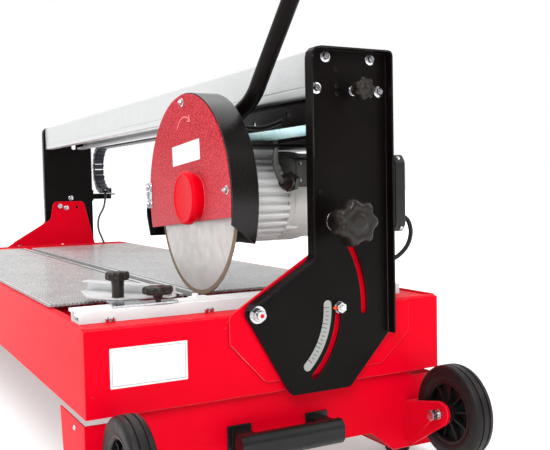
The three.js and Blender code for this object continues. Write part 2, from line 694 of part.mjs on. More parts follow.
// The fence, about its own post: a swinging foot plate with a web that is folded over at the
// top and closed at its right end.
function mitreFence() {
  const [low, top] = [153, 172];
  const foot = prism('z', outline([
    [-130, 62], [-118, 30, 6], [-55, -16, 10], [16, -16, 10], [40, 20, 6],
    [40, 46, 4], [72.5, 46], [72.5, 62],
  ]), low, low + 3);
  const web = block([-130, 72.5], [59, 62], [low, top]);
  const fold = block([-130, 72.5], [46, 62], [top - 2.5, top]);
  const endFold = block([69.5, 72.5], [54, 62], [low, top]);
  return cut(join(foot, web, fold, endFold), bar('z', MITRE.postR + 0.4, low - 1, top + 1, [0, 0]));
}

// A knob that stands up along +z from its own origin, with the head's underside at headFrom.
function uprightKnob(options) {
  return starKnob(options).rotate([-90, 0, 0]);
}

// ---- Assembly ----

const machine = new THREE.Group();

function add(name, solid, material, at = [0, 0, 0], turn = 0) {
  const mesh = toMesh(name, solid, material);
  mesh.position.set(...at);
  mesh.rotation.z = radians(turn);
  machine.add(mesh);
}

add('body_tray', bodyTray(), RED);
add('table_left', tableHalf([12, SLOT_X[0]]), MAT);
add('table_right', tableHalf([SLOT_X[1], 632]), MAT);
add('front_stand', stand(), RED);
add('rear_stand', stand(), RED, [WIDTH, LENGTH, 0], 180);
add('carry_handle_front', carryHandle(), PLASTIC);
add('carry_handle_rear', carryHandle(), PLASTIC, [WIDTH, LENGTH, 0], 180);
add('fence_rail', fenceRail(), ALUMINIUM);
add('water_pump', waterPump(), PLASTIC);

for (const [end, y] of [['front', FOOT_Y], ['rear', LENGTH - FOOT_Y]]) {
  add(`foot_${end}_left`, rubberFoot(), RUBBER, [FOOT_X, y, -FLOOR_TO_TRAY]);
  add(`foot_${end}_right`, rubberFoot(), RUBBER, [WIDTH - FOOT_X, y, -FLOOR_TO_TRAY]);
}

const PIVOT_NUT = { r: PIVOT.r, washer: 14.5, nut: { r: 11, h: 9 }, tip: -30 };
const STOP_NUT = { r: STOP.r, washer: 10, nut: { r: 9.2, h: 8 }, tip: -27 };
const clampAt = onPivot(CLAMP.radius, CLAMP.angle);
const lockKnob = {
  lobes: 7, r: 41, back: -48, front: -86, stemR: 19, stemFrom: -16, bore: CLAMP.r + 0.4, boreTo: -54,
};

add('fixed_plate_front', fixedPlate('front'), RED);
add('fixed_plate_rear', fixedPlate('rear'), RED);
add('pivot_bolt_front', studAndNut([PIVOT.x, PIVOT.z], PIVOT_NUT), STEEL);
add('stop_bolt', studAndNut(onPivot(STOP.radius, STOP.angle), STOP_NUT), STEEL);
add('lock_stud_front', lockStud(), STEEL);
add('lock_knob_front', starKnob(lockKnob), PLASTIC, [clampAt[0], 0, clampAt[1]]);

// The far end's fasteners are the near end's, turned about the vertical through their own axis.
add('pivot_bolt_rear', studAndNut([0, PIVOT.z], PIVOT_NUT), STEEL, [PIVOT.x, LENGTH, 0], 180);
add('lock_stud_rear', lockStud().translate([-clampAt[0], 0, 0]), STEEL, [clampAt[0], LENGTH, 0], 180);
add('lock_knob_rear', starKnob(lockKnob), PLASTIC, [clampAt[0], LENGTH, clampAt[1]], 180);

add('bevel_plate_front', bevelPlate('front'), BLACK);
add('bevel_plate_rear', bevelPlate('rear'), BLACK);
add('bridge_beam', bridgeBeam(), ALUMINIUM);
add('angle_scale', angleScale(), WHITE);
add('chain_bracket', chainBracket(), BLACK);
add('cable_chain', cableChain(), PLASTIC);
add('beam_knob', starKnob({
  lobes: 7, r: 20.5, back: -34, front: -52, stemR: 4, stemFrom: BEVEL_PLATE.inner - GAP,
}), PLASTIC, [BEAM_KNOB[0], 0, BEAM_KNOB[1]]);

add('carriage_frame', carriageFrame(), BLACK);
add('plunge_shaft', plungeShaft(), STEEL);
const rollerZ = BEAM.bottom + BEAM.lipThick + GAP + ROLLER.r;
const rollerX = [BEAM.left + 8, BEAM.right - 8 - ROLLER.width];
[ROLLER.near, ROLLER.far].forEach((y, row) => rollerX.forEach((x, side) => {
  add(`roller_${2 * row + side + 1}`, roller(), PLASTIC, [x, y, rollerZ]);
}));

add('head_plate', headPlate(), BLACK);
add('motor_body', motorBody(), ALUMINIUM);
add('motor_end_bell', motorEndBell(), GREY);
add('switch_box', switchBox(), PLASTIC);
add('terminal_box', terminalBox(), GREY);
add('guard_shell', guardShell(), BLACK);
add('guard_cover', guardCover(), RED);
add('pull_handle', pullHandle(), BLACK);
add('start_button', pushButton(), GREEN, [SWITCH_BOX.back - 10, BUTTON.start, BUTTON.z]);
add('stop_button', pushButton(), RED, [SWITCH_BOX.back - 10, BUTTON.stop, BUTTON.z]);
add('saw_blade', sawBlade(), STEEL);
add('motor_shaft', motorShaft(), STEEL);
add('blade_nut', bladeNut(), STEEL);

const wheelX = { left: WHEEL.inset + WHEEL.width / 2, right: WIDTH - WHEEL.inset - WHEEL.width / 2 };
for (const side of ['left', 'right']) {
  const at = [wheelX[side], WHEEL.y, WHEEL.z];
  const turn = side === 'right' ? 0 : 180;
  add(`wheel_bracket_${side}`, wheelBracket(side === 'right' ? 1 : -1), RED);
  add(`axle_bolt_${side}`, axleBolt(), STEEL, at, turn);
  add(`tyre_${side}`, tyre(), RUBBER, at);
  add(`wheel_hub_${side}`, wheelHub(), PLASTIC, at);
}

const postKnob = {
  lobes: 7, r: 21, back: -28, front: -42, stemR: 10, stemFrom: 0, bore: MITRE.postR + 0.4, boreTo: -31,
};
const railKnob = { lobes: 7, r: 26, back: -12.5, front: -25.5, stemR: 4.5, stemFrom: 0, bore: 0 };
add('mitre_slider', mitreSlider(), ALUMINIUM);
add('mitre_fence', mitreFence(), ALUMINIUM, [...MITRE.post, 0], MITRE.swing);
add('mitre_knob', uprightKnob(postKnob), PLASTIC, [...MITRE.post, 156.3]);
add('rail_knob', uprightKnob(railKnob), PLASTIC, [...MITRE.clamp, RAIL.z[1] + 3.8]);

// The group's origin goes to the middle of the footprint, at the height of the feet.
const extent = new THREE.Box3().setFromObject(machine);
const centre = extent.getCenter(new THREE.Vector3());
machine.position.set(-centre.x, -centre.y, -extent.min.z);

const group = new THREE.Group();
group.add(machine);
export default group;
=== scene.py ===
import math

import bmesh
import bpy
from mathutils import Matrix, Vector


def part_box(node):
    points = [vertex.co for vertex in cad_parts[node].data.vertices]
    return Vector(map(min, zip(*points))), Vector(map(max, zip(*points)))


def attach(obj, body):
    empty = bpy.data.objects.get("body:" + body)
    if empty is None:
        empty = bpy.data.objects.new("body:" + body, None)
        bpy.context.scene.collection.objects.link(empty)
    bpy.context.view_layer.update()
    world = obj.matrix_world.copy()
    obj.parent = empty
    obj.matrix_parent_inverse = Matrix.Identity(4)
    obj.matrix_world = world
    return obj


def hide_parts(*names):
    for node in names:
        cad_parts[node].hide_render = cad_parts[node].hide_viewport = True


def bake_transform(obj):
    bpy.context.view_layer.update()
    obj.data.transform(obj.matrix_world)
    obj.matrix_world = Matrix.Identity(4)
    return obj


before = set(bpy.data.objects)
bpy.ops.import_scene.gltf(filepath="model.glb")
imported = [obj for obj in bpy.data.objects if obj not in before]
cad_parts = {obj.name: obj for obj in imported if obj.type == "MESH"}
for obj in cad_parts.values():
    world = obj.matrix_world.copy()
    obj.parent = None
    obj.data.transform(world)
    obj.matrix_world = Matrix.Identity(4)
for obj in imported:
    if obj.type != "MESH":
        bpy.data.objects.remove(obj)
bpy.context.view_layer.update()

MM = 0.001
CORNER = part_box("body_tray")[0]
TO_ROW = Matrix.Translation(CORNER) @ Matrix.Scale(MM, 4)


def span(node):
    """A CAD node's lowest and highest corner, in millimetres from the tray's corner."""
    low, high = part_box(node)
    return (low - CORNER) / MM, (high - CORNER) / MM


def middle(node):
    low, high = span(node)
    return (low + high) / 2


TRAY = span("body_tray")[1]
ARBOR = middle("saw_blade")
PIVOT = middle("pivot_bolt_front")
PLATE_FACE = -12.0


# ---- Materials ----

def add_node(tree, kind, inputs=None, output=0, **properties):
    """A shader node's output; its inputs are set to values or linked to other nodes' outputs."""
    node = tree.nodes.new("ShaderNode" + kind)
    for name, value in properties.items():
        setattr(node, name, value)
    for name, value in (inputs or {}).items():
        if isinstance(value, bpy.types.NodeSocket):
            tree.links.new(value, node.inputs[name])
        else:
            node.inputs[name].default_value = value
    return node.outputs[output]


class Look:
    """A principled material whose colour, gloss and relief come from procedural nodes."""

    def __init__(self, name, color, roughness, metallic=0.0, slot=None):
        self.slot = slot or name
        self.material = bpy.data.materials.new(name)
        self.material.use_nodes = True
        self.material.diffuse_color = (*color, 1)
        self.tree = self.material.node_tree
        self.surface = self.tree.nodes["Principled BSDF"]
        self.set("Roughness", roughness).set("Metallic", metallic)
        self.place = self.node("TexCoord", output="Object")
        self.color = self.node("RGB")
        self.color.default_value = (*color, 1)
        self.drive("Base Color", self.color)
        self.normal = None

    def node(self, *settings, **properties):
        return add_node(self.tree, *settings, **properties)

    def set(self, name, value):
        self.surface.inputs[name].default_value = value
        return self

    def drive(self, name, value):
        """Lets a node's output drive an input of the surface."""
        self.tree.links.new(value, self.surface.inputs[name])
        return self

    def noise(self, per_metre, detail=3.0, stretch=(1, 1, 1)):
        place = self.node("Mapping", {"Scale": stretch, "Vector": self.place}, "Vector")
        return self.node("TexNoise", {"Scale": per_metre, "Detail": detail, "Vector": place}, "Fac")

    def height(self):
        return self.node("SeparateXYZ", {0: self.place}, "Z")

    def distance(self, centre=(0, 0, 0)):
        """How far a point lies from a centre in the row frame, in metres."""
        shifted = self.node("VectorMath", {0: self.place, 1: centre}, operation="SUBTRACT")
        return self.node("VectorMath", {0: shifted}, "Value", operation="LENGTH")

    def cells(self, per_metre):
        return self.node("TexVoronoi", {"Scale": per_metre, "Vector": self.place}, "Distance")

    def steps(self, value, low, high, to_low=0.0, to_high=1.0):
        """The value's stretch from low to high, spread over to_low to to_high."""
        return self.node("MapRange", {"Value": value, "From Min": low, "From Max": high,
                                      "To Min": to_low, "To Max": to_high}, "Result")

    def tint(self, share, color):
        """The other colour, mixed in by the share."""
        colors = {"Factor": share, "A": self.color, "B": (*color, 1)}
        self.color = self.node("Mix", colors, "Result", data_type="RGBA")
        return self.drive("Base Color", self.color)

    def gloss(self, value, low, high):
        return self.drive("Roughness", self.steps(value, 0.3, 0.7, low, high))

    def bump(self, height, depth):
        """Relief of the given depth in millimetres."""
        relief = {"Strength": 1.0, "Distance": depth * MM, "Height": height}
        if self.normal:
            relief["Normal"] = self.normal
        self.normal = self.node("Bump", relief, "Normal")
        return self.drive("Normal", self.normal)

    def calm(self, color):
        """A duller colour for the light that this surface throws on its neighbours."""
        return self.tint(self.node("LightPath", output="Is Diffuse Ray"), color)

    def edges(self, width, color, amount):
        """Painted highlight: edges tinted to another colour, found where a rounded normal leaves the flat one.
        """
        rounded = self.node("Bevel", {"Radius": width * MM}, "Normal", samples=4)
        flat = self.node("NewGeometry", output="Normal")
        match = self.node("VectorMath", {0: rounded, 1: flat}, "Value", operation="DOT_PRODUCT")
        return self.tint(self.steps(match, 0.98, 0.80, 0.0, amount), color)


def powder_coat(name, color, shade, roughness, shine=0.07, coat=0.0, slot=None):
    """Powder coat: a fine orange-peel skin and faint cloudiness; pale edges, a painted highlight, come
    separately from edges().
    """
    look = Look(name, color, roughness, slot=slot)
    look.tint(look.steps(look.noise(9, 2), 0.35, 0.75), shade)
    grain = look.noise(900, 2)
    look.bump(look.noise(420, 3), 0.22).bump(grain, 0.12)
    look.gloss(grain, roughness - 0.08, roughness + 0.12)
    look.set("Coat Weight", coat).set("Coat Roughness", 0.2).set("Specular IOR Level", shine)
    return look


RED = powder_coat("red_paint", (0.86, 0.0, 0.016), (0.76, 0.0, 0.012), 0.38, 0.04)
# Painted highlight: pale pink tint along the red edges.
RED.edges(1.1, (1.0, 0.42, 0.45), 0.7)
RED.calm((0.42, 0.30, 0.30))
DRUM_RED = powder_coat("drum_red", (0.78, 0.0, 0.012), (0.68, 0.0, 0.01), 0.3, 0.05, slot="red_paint")
# Painted highlight: a pale pink rim along the drum's edges.
DRUM_RED.edges(1.4, (1.0, 0.60, 0.62), 0.7)
COVER_RED = powder_coat("guard_red", (0.40, 0.002, 0.008), (0.33, 0.002, 0.006), 0.5, 0.08, slot="red_paint")
COVER_RED.bump(COVER_RED.cells(480), 0.4)
COVER_RED.tint(COVER_RED.steps(COVER_RED.noise(430, 3), 0.45, 0.60, 0.0, 0.75), (0.78, 0.085, 0.115))
# Painted reflection: the cover turns paler towards its bottom.
COVER_RED.tint(COVER_RED.steps(COVER_RED.height(), 0.58, 0.42, 0.0, 0.30), (0.88, 0.22, 0.25))
BLACK = powder_coat("black_paint", (0.0035, 0.0018, 0.0018), (0.006, 0.004, 0.004), 0.33, 0.09)
# Painted highlight: pale grey tint along the black edges.
BLACK.edges(0.9, (0.34, 0.33, 0.33), 0.4)
GUARD_BLACK = powder_coat("guard_black", (0.006, 0.004, 0.004), (0.011, 0.008, 0.008), 0.22, 0.28,
                          slot="black_paint")
# Painted highlight: pale grey tint along the guard's edges.
GUARD_BLACK.edges(1.0, (0.5, 0.5, 0.5), 0.6)


def brushed(name, color, roughness, along, slot=None, metallic=1.0):
    """Drawn or rolled metal: fine lines along one axis and cloudy gloss."""
    look = Look(name, color, roughness, metallic, slot)
    stretch = {"x": (1, 60, 60), "y": (60, 1, 60), "z": (60, 60, 1)}[along]
    lines = look.noise(40, 4, stretch)
    look.tint(look.steps(lines, 0.3, 0.7, 0.0, 0.35), tuple(0.72 * c for c in color))
    look.gloss(look.noise(22, 3), roughness - 0.07, roughness + 0.1)
    look.bump(lines, 0.03)
    return look


ALUMINIUM = brushed("aluminium", (0.75, 0.76, 0.765), 0.4, "y", metallic=0.6)
RAIL_METAL = brushed("rail_aluminium", (0.97, 0.97, 0.97), 0.42, "x", slot="aluminium", metallic=0.05)
FINS = brushed("motor_aluminium", (0.98, 0.99, 0.98), 0.42, "x", slot="aluminium", metallic=0.0)
STEEL = Look("bright_steel", (0.62, 0.62, 0.64), 0.2, 1.0)
STEEL.gloss(STEEL.noise(260, 3), 0.14, 0.34)
STEEL.tint(STEEL.steps(STEEL.noise(60, 4), 0.45, 0.8, 0.0, 0.6), (0.32, 0.32, 0.34))
STEEL.bump(STEEL.noise(1400, 2), 0.03)


def casting(name, color, shade, metallic, grain, dullest):
    """Painted cast metal: a rough grain, cloudy colour and uneven gloss."""
    look = Look(name, color, 0.42, metallic, "grey_casting")
    look.bump(look.noise(700, 4), grain).gloss(look.noise(90, 3), 0.34, dullest)
    return look.tint(look.steps(look.noise(30, 4), 0.4, 0.8, 0.0, 0.5), shade)


CASTING = casting("grey_casting", (0.86, 0.87, 0.84), (0.76, 0.76, 0.74), 0.05, 0.25, 0.55)
BOX_GREY = casting("box_grey", (0.075, 0.075, 0.072), (0.11, 0.11, 0.10), 0.0, 0.2, 0.52)


def blade_look():
    """Ground steel: rings about the arbor, stains and a warm tone."""
    look = Look("blade_steel", (0.58, 0.55, 0.535), 0.36, 0.7)
    across = {"Scale": 900, "Detail": 4, "W": look.distance(TO_ROW @ ARBOR)}
    rings = look.node("TexNoise", across, "Fac", noise_dimensions="1D")
    look.tint(look.steps(rings, 0.35, 0.7, 0.0, 0.5), (0.62, 0.61, 0.59))
    look.tint(look.steps(look.noise(18, 5), 0.5, 0.8, 0.0, 0.5), (0.36, 0.33, 0.29))
    look.bump(rings, 0.03).gloss(look.noise(60, 3), 0.28, 0.46)
    return look


BLADE = blade_look()
DIAMOND = Look("diamond_rim", (0.44, 0.35, 0.24), 0.8, 0.25, slot="blade_steel")
DIAMOND.tint(DIAMOND.steps(DIAMOND.cells(1500), 0.1, 0.5), (0.26, 0.19, 0.13))
DIAMOND.bump(DIAMOND.cells(1300), 0.5).bump(DIAMOND.noise(2500, 2), 0.15)


def moulded(name, color, roughness, grain=0.12, slot=None, shine=0.35):
    """Moulded plastic or rubber: a fine matt grain with slightly uneven gloss."""
    look = Look(name, color, roughness, slot=slot)
    look.tint(look.steps(look.noise(45, 3), 0.4, 0.8, 0.0, 0.6), tuple(min(1, 1.5 * c + 0.004) for c in color))
    look.bump(look.noise(1300, 3), grain).gloss(look.noise(120, 3), roughness - 0.07, roughness + 0.1)
    look.set("Specular IOR Level", shine)
    return look


PLASTIC = moulded("black_plastic", (0.006, 0.006, 0.006), 0.38)
KNOB = moulded("knob_plastic", (0.010, 0.007, 0.005), 0.34, 0.06, slot="black_plastic", shine=0.36)
RUBBER = moulded("rubber", (0.008, 0.008, 0.009), 0.6, 0.2)
TYRE = moulded("tyre", (0.010, 0.008, 0.008), 0.42, 0.25, shine=0.25)
GREEN = moulded("green_plastic", (0.01, 0.22, 0.05), 0.35, 0.05)
BUTTON_RED = moulded("red_plastic", (0.62, 0.01, 0.01), 0.35, 0.05)
POINTER = moulded("pointer_paint", (0.85, 0.10, 0.01), 0.4, 0.05, slot="red_plastic")
HOSE = moulded("hose_blue", (0.58, 0.88, 0.91), 0.25, 0.04, slot="table_mat", shine=0.6)
CHAIN = moulded("chain_plastic", (0.006, 0.008, 0.017), 0.36, 0.08, slot="black_plastic", shine=0.4)
CABLE = moulded("cable_grey", (0.085, 0.085, 0.08), 0.36, 0.06, slot="rubber")
LABEL = moulded("label_white", (0.86, 0.86, 0.86), 0.35, 0.01, slot="scale_strip")
INK = moulded("label_grey", (0.42, 0.42, 0.43), 0.5, 0.01, slot="black_plastic")
ARROW = moulded("arrow_red", (0.82, 0.18, 0.21), 0.4, 0.04, slot="red_paint")

SCALE = Look("scale_strip", (0.37, 0.38, 0.36), 0.45, 0.2)
SCALE.tint(SCALE.steps(SCALE.noise(420, 4), 0.5, 0.7, 0.0, 0.5), (0.22, 0.23, 0.21))
SCALE.bump(SCALE.noise(600, 3), 0.08)

MAT = Look("table_mat", (0.46, 0.45, 0.45), 0.3)
MAT.set("Specular IOR Level", 1.0)
# Painted sheen: pale streaks drawn out along y, where the ribs run.
MAT.tint(MAT.steps(MAT.noise(60, 4, (12, 0.35, 12)), 0.35, 0.75, 0.0, 0.4), (0.55, 0.55, 0.54))
MAT.tint(MAT.steps(MAT.noise(7, 3), 0.45, 0.75, 0.0, 0.5), (0.34, 0.34, 0.34))
MAT.bump(MAT.noise(900, 3), 0.08).gloss(MAT.noise(30, 3), 0.17, 0.30)


# ---- Mesh building ----

def spread(axis, u, v, w):
    """A point from its two outline values and its place w along the axis."""
    return Vector({"x": (w, u, v), "y": (u, w, v), "z": (u, v, w)}[axis])


def rounded(corners, steps=7):
    """An outline from (u, v) corners; a third number cuts the corner back and rounds it."""
    points = []
    for i, corner in enumerate(corners):
        here = Vector(corner[:2])
        cut = corner[2] if len(corner) > 2 else 0
        if not cut:
            points.append(here)
            continue
        start, end = (here + (Vector(corners[j][:2]) - here).normalized() * cut
                      for j in (i - 1, (i + 1) % len(corners)))
        for k in range(steps + 1):
            t = k / steps
            points.append((1 - t) ** 2 * start + 2 * t * (1 - t) * here + t * t * end)
    return points


def box_outline(u0, u1, v0, v1, cut=0.0):
    corners = [(u0, v0), (u1, v0), (u1, v1), (u0, v1)]
    return rounded([(*c, cut) for c in corners]) if cut else [Vector(c) for c in corners]


def arc(u, v, radius, first, last, steps):
    angles = (math.radians(first + (last - first) * i / steps) for i in range(steps + 1))
    return [Vector((u + radius * math.cos(a), v + radius * math.sin(a))) for a in angles]


def ring(u, v, radius, steps=32):
    return arc(u, v, radius, 0, 360, steps)[:-1]


def prism(bm, axis, loops, low, high):
    """Adds a flat shape pushed along an axis; loops[0] is its outside and the rest are holes."""
    edges = []
    for loop in loops:
        verts = [bm.verts.new(spread(axis, u, v, low)) for u, v in loop]
        edges += [bm.edges.new(pair) for pair in zip(verts, verts[1:] + verts[:1])]
    filled = bmesh.ops.triangle_fill(bm, use_beauty=True, use_dissolve=False, edges=edges)
    faces = [f for f in filled["geom"] if isinstance(f, bmesh.types.BMFace)]
    bmesh.ops.dissolve_limit(bm, angle_limit=0.01, verts=list({v for f in faces for v in f.verts}),
                             edges=list({e for f in faces for e in f.edges if len(e.link_faces) == 2}))
    faces = [f for f in bm.faces if all(abs(v.co["xyz".index(axis)] - low) < 1e-5 for v in f.verts)
             and f.is_valid and all(e.is_boundary or len(e.link_faces) == 2 for e in f.edges)
             and any(e.is_boundary for e in f.edges)]
    grown = bmesh.ops.extrude_face_region(bm, geom=faces)
    moved = [v for v in grown["geom"] if isinstance(v, bmesh.types.BMVert)]
    bmesh.ops.translate(bm, vec=spread(axis, 0, 0, high - low), verts=moved)
    return bm


def block(bm, x, y, z):
    made = bmesh.ops.create_cube(bm, size=1)["verts"]
    place = Matrix.Translation([(a + b) / 2 for a, b in (x, y, z)])
    sizes = Matrix.Diagonal([b - a for a, b in (x, y, z)] + [1])
    bmesh.ops.transform(bm, matrix=place @ sizes, verts=made)
    return bm


def lathe(bm, axis, profile, centre, steps=64, base=0.0):
    """Adds a profile of (radius, place along the axis from base), turned about a line through centre."""
    loop = profile[0] == profile[-1]
    rings = []
    for radius, along in profile[:-1] if loop else profile:
        if radius < 1e-6:
            rings.append([bm.verts.new(spread(axis, *centre, base + along))])
        else:
            rings.append([bm.verts.new(spread(axis, *p, base + along)) for p in ring(*centre, radius, steps)])
    pairs = list(zip(rings, rings[1:] + rings[:1] if loop else rings[1:]))
    for a, b in pairs:
        for i in range(steps):
            j = (i + 1) % steps
            corners = [a[i % len(a)], a[j % len(a)], b[j % len(b)], b[i % len(b)]]
            unique = list(dict.fromkeys(corners))
            if len(unique) > 2:
                bm.faces.new(unique)
    return bm


def loft(bm, layers):
    """Adds a closed skin over layers of points, each with as many points, capped at both ends."""
    rows = [[bm.verts.new(p) for p in layer] for layer in layers]
    for a, b in zip(rows, rows[1:]):
        for i in range(len(a)):
            j = (i + 1) % len(a)
            bm.faces.new((a[i], a[j], b[j], b[i]))
    bm.faces.new(rows[0][::-1])
    bm.faces.new(rows[-1])
    return bm


def smooth_path(points, steps=10):
    """A Catmull-Rom curve through points."""
    p = [Vector(q) for q in points]
    p = [2 * p[0] - p[1], *p, 2 * p[-1] - p[-2]]
    path = []
    for a, b, c, d in zip(p, p[1:], p[2:], p[3:]):
        for k in range(steps):
            t = k / steps
            path.append(0.5 * (2 * b + (c - a) * t + (2 * a - 5 * b + 4 * c - d) * t ** 2
                               + (3 * b - a - 3 * c + d) * t ** 3))
    return path + [p[-2]]


def sweep(bm, path, section, up=Vector((0.3, 0.2, 1))):
    """Adds a section of (side, up) values carried along a path without twisting."""
    layers = []
    side = None
    for i, here in enumerate(path):
        ahead = (path[min(i + 1, len(path) - 1)] - path[max(i - 1, 0)]).normalized()
        side = ahead.cross(up).normalized() if side is None else (side - ahead * side.dot(ahead)).normalized()
        lift = side.cross(ahead)
        layers.append([here + side * u + lift * v for u, v in section])
    return loft(bm, layers)


def cable(bm, points, radius, steps=14, detail=10):
    return sweep(bm, smooth_path(points, detail), ring(0, 0, radius, steps))


def to_object(name, bm):
    bmesh.ops.recalc_face_normals(bm, faces=bm.faces[:])
    mesh = bpy.data.meshes.new(name)
    bm.to_mesh(mesh)
    bm.free()
    obj = bpy.data.objects.new(name, mesh)
    bpy.context.scene.collection.objects.link(obj)
    return obj


def carve(solid, tools, operation="DIFFERENCE"):
    """The solid after a boolean with each tool; all of them are bmeshes."""
    base = to_object("carve_base", solid)
    helpers = [to_object("carve_tool", tool) for tool in tools]
    for helper in helpers:
        step = base.modifiers.new("carve", "BOOLEAN")
        step.object = helper
        step.operation = operation
        step.solver = "EXACT"
    evaluated = base.evaluated_get(bpy.context.evaluated_depsgraph_get())
    result = bmesh.new()
    result.from_mesh(evaluated.to_mesh())
    for obj in (base, *helpers):
        bpy.data.objects.remove(obj)
    return result


def round_edges(obj, width):
    bevel = obj.modifiers.new("rounded_edges", "BEVEL")
    bevel.width = width * MM
    bevel.segments = 2
    bevel.limit_method = "ANGLE"
    bevel.angle_limit = math.radians(32)
    bevel.use_clamp_overlap = False
    bevel.harden_normals = True
    return obj


def piece(name, bm, look, body, smooth=38, bevel=0.0, replaces=()):
    """A finished mesh in millimetres becomes a named piece in the row frame, on its body.

    A body given as (first, second, start, end) attaches it to no body; the piece is baked where it stands.
    """
    bm.transform(TO_ROW)
    obj = to_object(name, bm)
    obj.data.shade_smooth()
    if bevel:
        round_edges(obj, bevel)
    else:
        obj.data.set_sharp_from_angle(angle=math.radians(smooth))
    obj.data.materials.append(look.material)
    if isinstance(body, str):
        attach(obj, body)
    else:
        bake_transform(obj)
    if replaces:
        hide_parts(*replaces)
    return obj


# ---- CAD nodes that stay: welded, rounded along their edges and given a finish ----

def clean_nodes():
    """Geometry nodes that join a CAD node's split corners and shade it smooth."""
    tree = bpy.data.node_groups.new("join_corners", "GeometryNodeTree")
    for way in ("INPUT", "OUTPUT"):
        tree.interface.new_socket("Geometry", in_out=way, socket_type="NodeSocketGeometry")
    first = tree.nodes.new("NodeGroupInput")
    weld = tree.nodes.new("GeometryNodeMergeByDistance")
    weld.inputs["Distance"].default_value = 0.01 * MM
    plain = tree.nodes.new("GeometryNodeRemoveAttribute")
    plain.inputs["Name"].default_value = "custom_normal"
    shade = tree.nodes.new("GeometryNodeSetShadeSmooth")
    last = tree.nodes.new("NodeGroupOutput")
    chain = [first, weld, plain, shade, last]
    for a, b in zip(chain, chain[1:]):
        tree.links.new(a.outputs[0], b.inputs[0])
    return tree


CLEAN = clean_nodes()


def refine(node, look, bevel):
    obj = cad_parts[node]
    for slot in obj.material_slots:
        slot.material = look.material
    joined = obj.modifiers.new("join_corners", "NODES")
    joined.node_group = CLEAN
    round_edges(obj, bevel)


KEPT = (
    (RED, 0.9, "body_tray"),
    (RED, 0.8, "front_stand rear_stand"),
    (RED, 0.6, "fixed_plate_front fixed_plate_rear wheel_bracket_left wheel_bracket_right"),
    (BLACK, 0.7, "bevel_plate_front bevel_plate_rear"),
    (BLACK, 0.5, "head_plate"),
    (BLACK, 0.4, "chain_bracket carriage_frame"),
    (PLASTIC, 1.2, "switch_box"),
    (PLASTIC, 1.0, "water_pump"),
    (PLASTIC, 0.8, "carry_handle_front carry_handle_rear"),
    (PLASTIC, 0.5, "roller_1 roller_2 roller_3 roller_4"),
    (RUBBER, 0.8, "foot_front_left foot_front_right foot_rear_left foot_rear_right"),
    (STEEL, 0.6, "pivot_bolt_front pivot_bolt_rear"),
    (STEEL, 0.5, "stop_bolt lock_stud_front lock_stud_rear plunge_shaft axle_bolt_left axle_bolt_right"),
    (STEEL, 0.4, "motor_shaft blade_nut"),
    (STEEL, 0.3, "mitre_slider"),
    (ALUMINIUM, 0.6, "bridge_beam"),
    (ALUMINIUM, 0.3, "mitre_fence"),
    (SCALE, 0.2, "angle_scale"),
    (BOX_GREY, 0.9, "terminal_box"),
)
for look, bevel, nodes in KEPT:
    for node in nodes.split():
        refine(node, look, bevel)


# ---- Fasteners ----

def towards(at, direction):
    """A matrix that puts a local +z thing at a place, pointing in a direction."""
    turn = Vector((0, 0, 1)).rotation_difference(Vector(direction)).to_matrix().to_4x4()
    return Matrix.Translation(at) @ turn


def placed(bm, build, matrix):
    """Runs build on a fresh mesh, moves it by the matrix and adds it to bm."""
    part = bmesh.new()
    build(part)
    part.transform(matrix)
    mesh = bpy.data.meshes.new("part")
    part.to_mesh(mesh)
    part.free()
    bm.from_mesh(mesh)
    bpy.data.meshes.remove(mesh)
    return bm


def hexagon(radius, turn=0.0):
    return arc(0, 0, radius, turn, turn + 360, 6)[:-1]


def hex_bolt(bm, at, direction, r=6.0, head=5.0, washer=0.0, stud=0.0):
    """A hex head with a domed chamfer, on a washer, with a stud end in its middle if asked."""
    def build(part):
        start = 0.0
        if washer:
            lathe(part, "z", [(0, 0), (washer, 0), (washer, 1.3), (washer - 0.4, 1.6), (0, 1.6)], (0, 0), 28)
            start = 1.6
        layers = [(r, start), (r, start + head * 0.78), (r * 0.9, start + head)]
        loft(part, [[Vector((*p, h)) for p in hexagon(reach, 15)] for reach, h in layers])
        if stud:
            tip, thin = head + stud, r * 0.5
            shank = [(0, 0), (thin, 0), (thin, tip - 0.8), (r * 0.42, tip), (0, tip)]
            lathe(part, "z", shank, (0, 0), 18, start)
    return placed(bm, build, towards(at, direction))


def pan_screw(bm, at, direction, r=4.0, head=2.4):
    """A round screw head with a cross recess."""
    def build(part):
        dome = [(0, 0), (r, 0), (r, head * 0.35), (r * 0.86, head * 0.8), (r * 0.55, head), (0, head)]
        lathe(part, "z", dome, (0, 0), 24)
        for a, b in ((0.55, 0.1), (0.1, 0.55)):
            block(part, (-a * r, a * r), (-b * r, b * r), (head * 0.9, head + 0.12))
    return placed(bm, build, towards(at, direction))


# ---- Table ----

def table_half(side):
    """A steel sheet with a ribbed rubber mat on it; the ribs run along the tray."""
    low, high = span(f"table_{side}")
    sheet, pitch, rib = 2.4, 7.2, 3.0
    bm = prism(bmesh.new(), "z", [box_outline(low.x, high.x, low.y, high.y, 3)], low.z, low.z + sheet)
    piece(f"table_sheet_{side}", bm, STEEL, "base", bevel=0.3)
    x0, x1 = low.x + 1.5, high.x - 1.5
    count = int((x1 - x0) / pitch)
    pitch = (x1 - x0) / count
    top, valley = high.z, high.z - rib
    outline = [Vector((x1, low.z + sheet + 0.05)), Vector((x0, low.z + sheet + 0.05))]
    for i in range(count):
        x = x0 + i * pitch
        outline += [Vector((x + share * pitch, z)) for share, z in (
            (0.02, valley), (0.14, top - 0.3), (0.22, top), (0.62, top), (0.70, top - 0.3), (0.82, valley))]
    bm = prism(bmesh.new(), "y", [outline], low.y - 2.0, high.y)
    piece(f"table_mat_{side}", bm, MAT, "base", smooth=25, replaces=[f"table_{side}"])


table_half("left")
table_half("right")


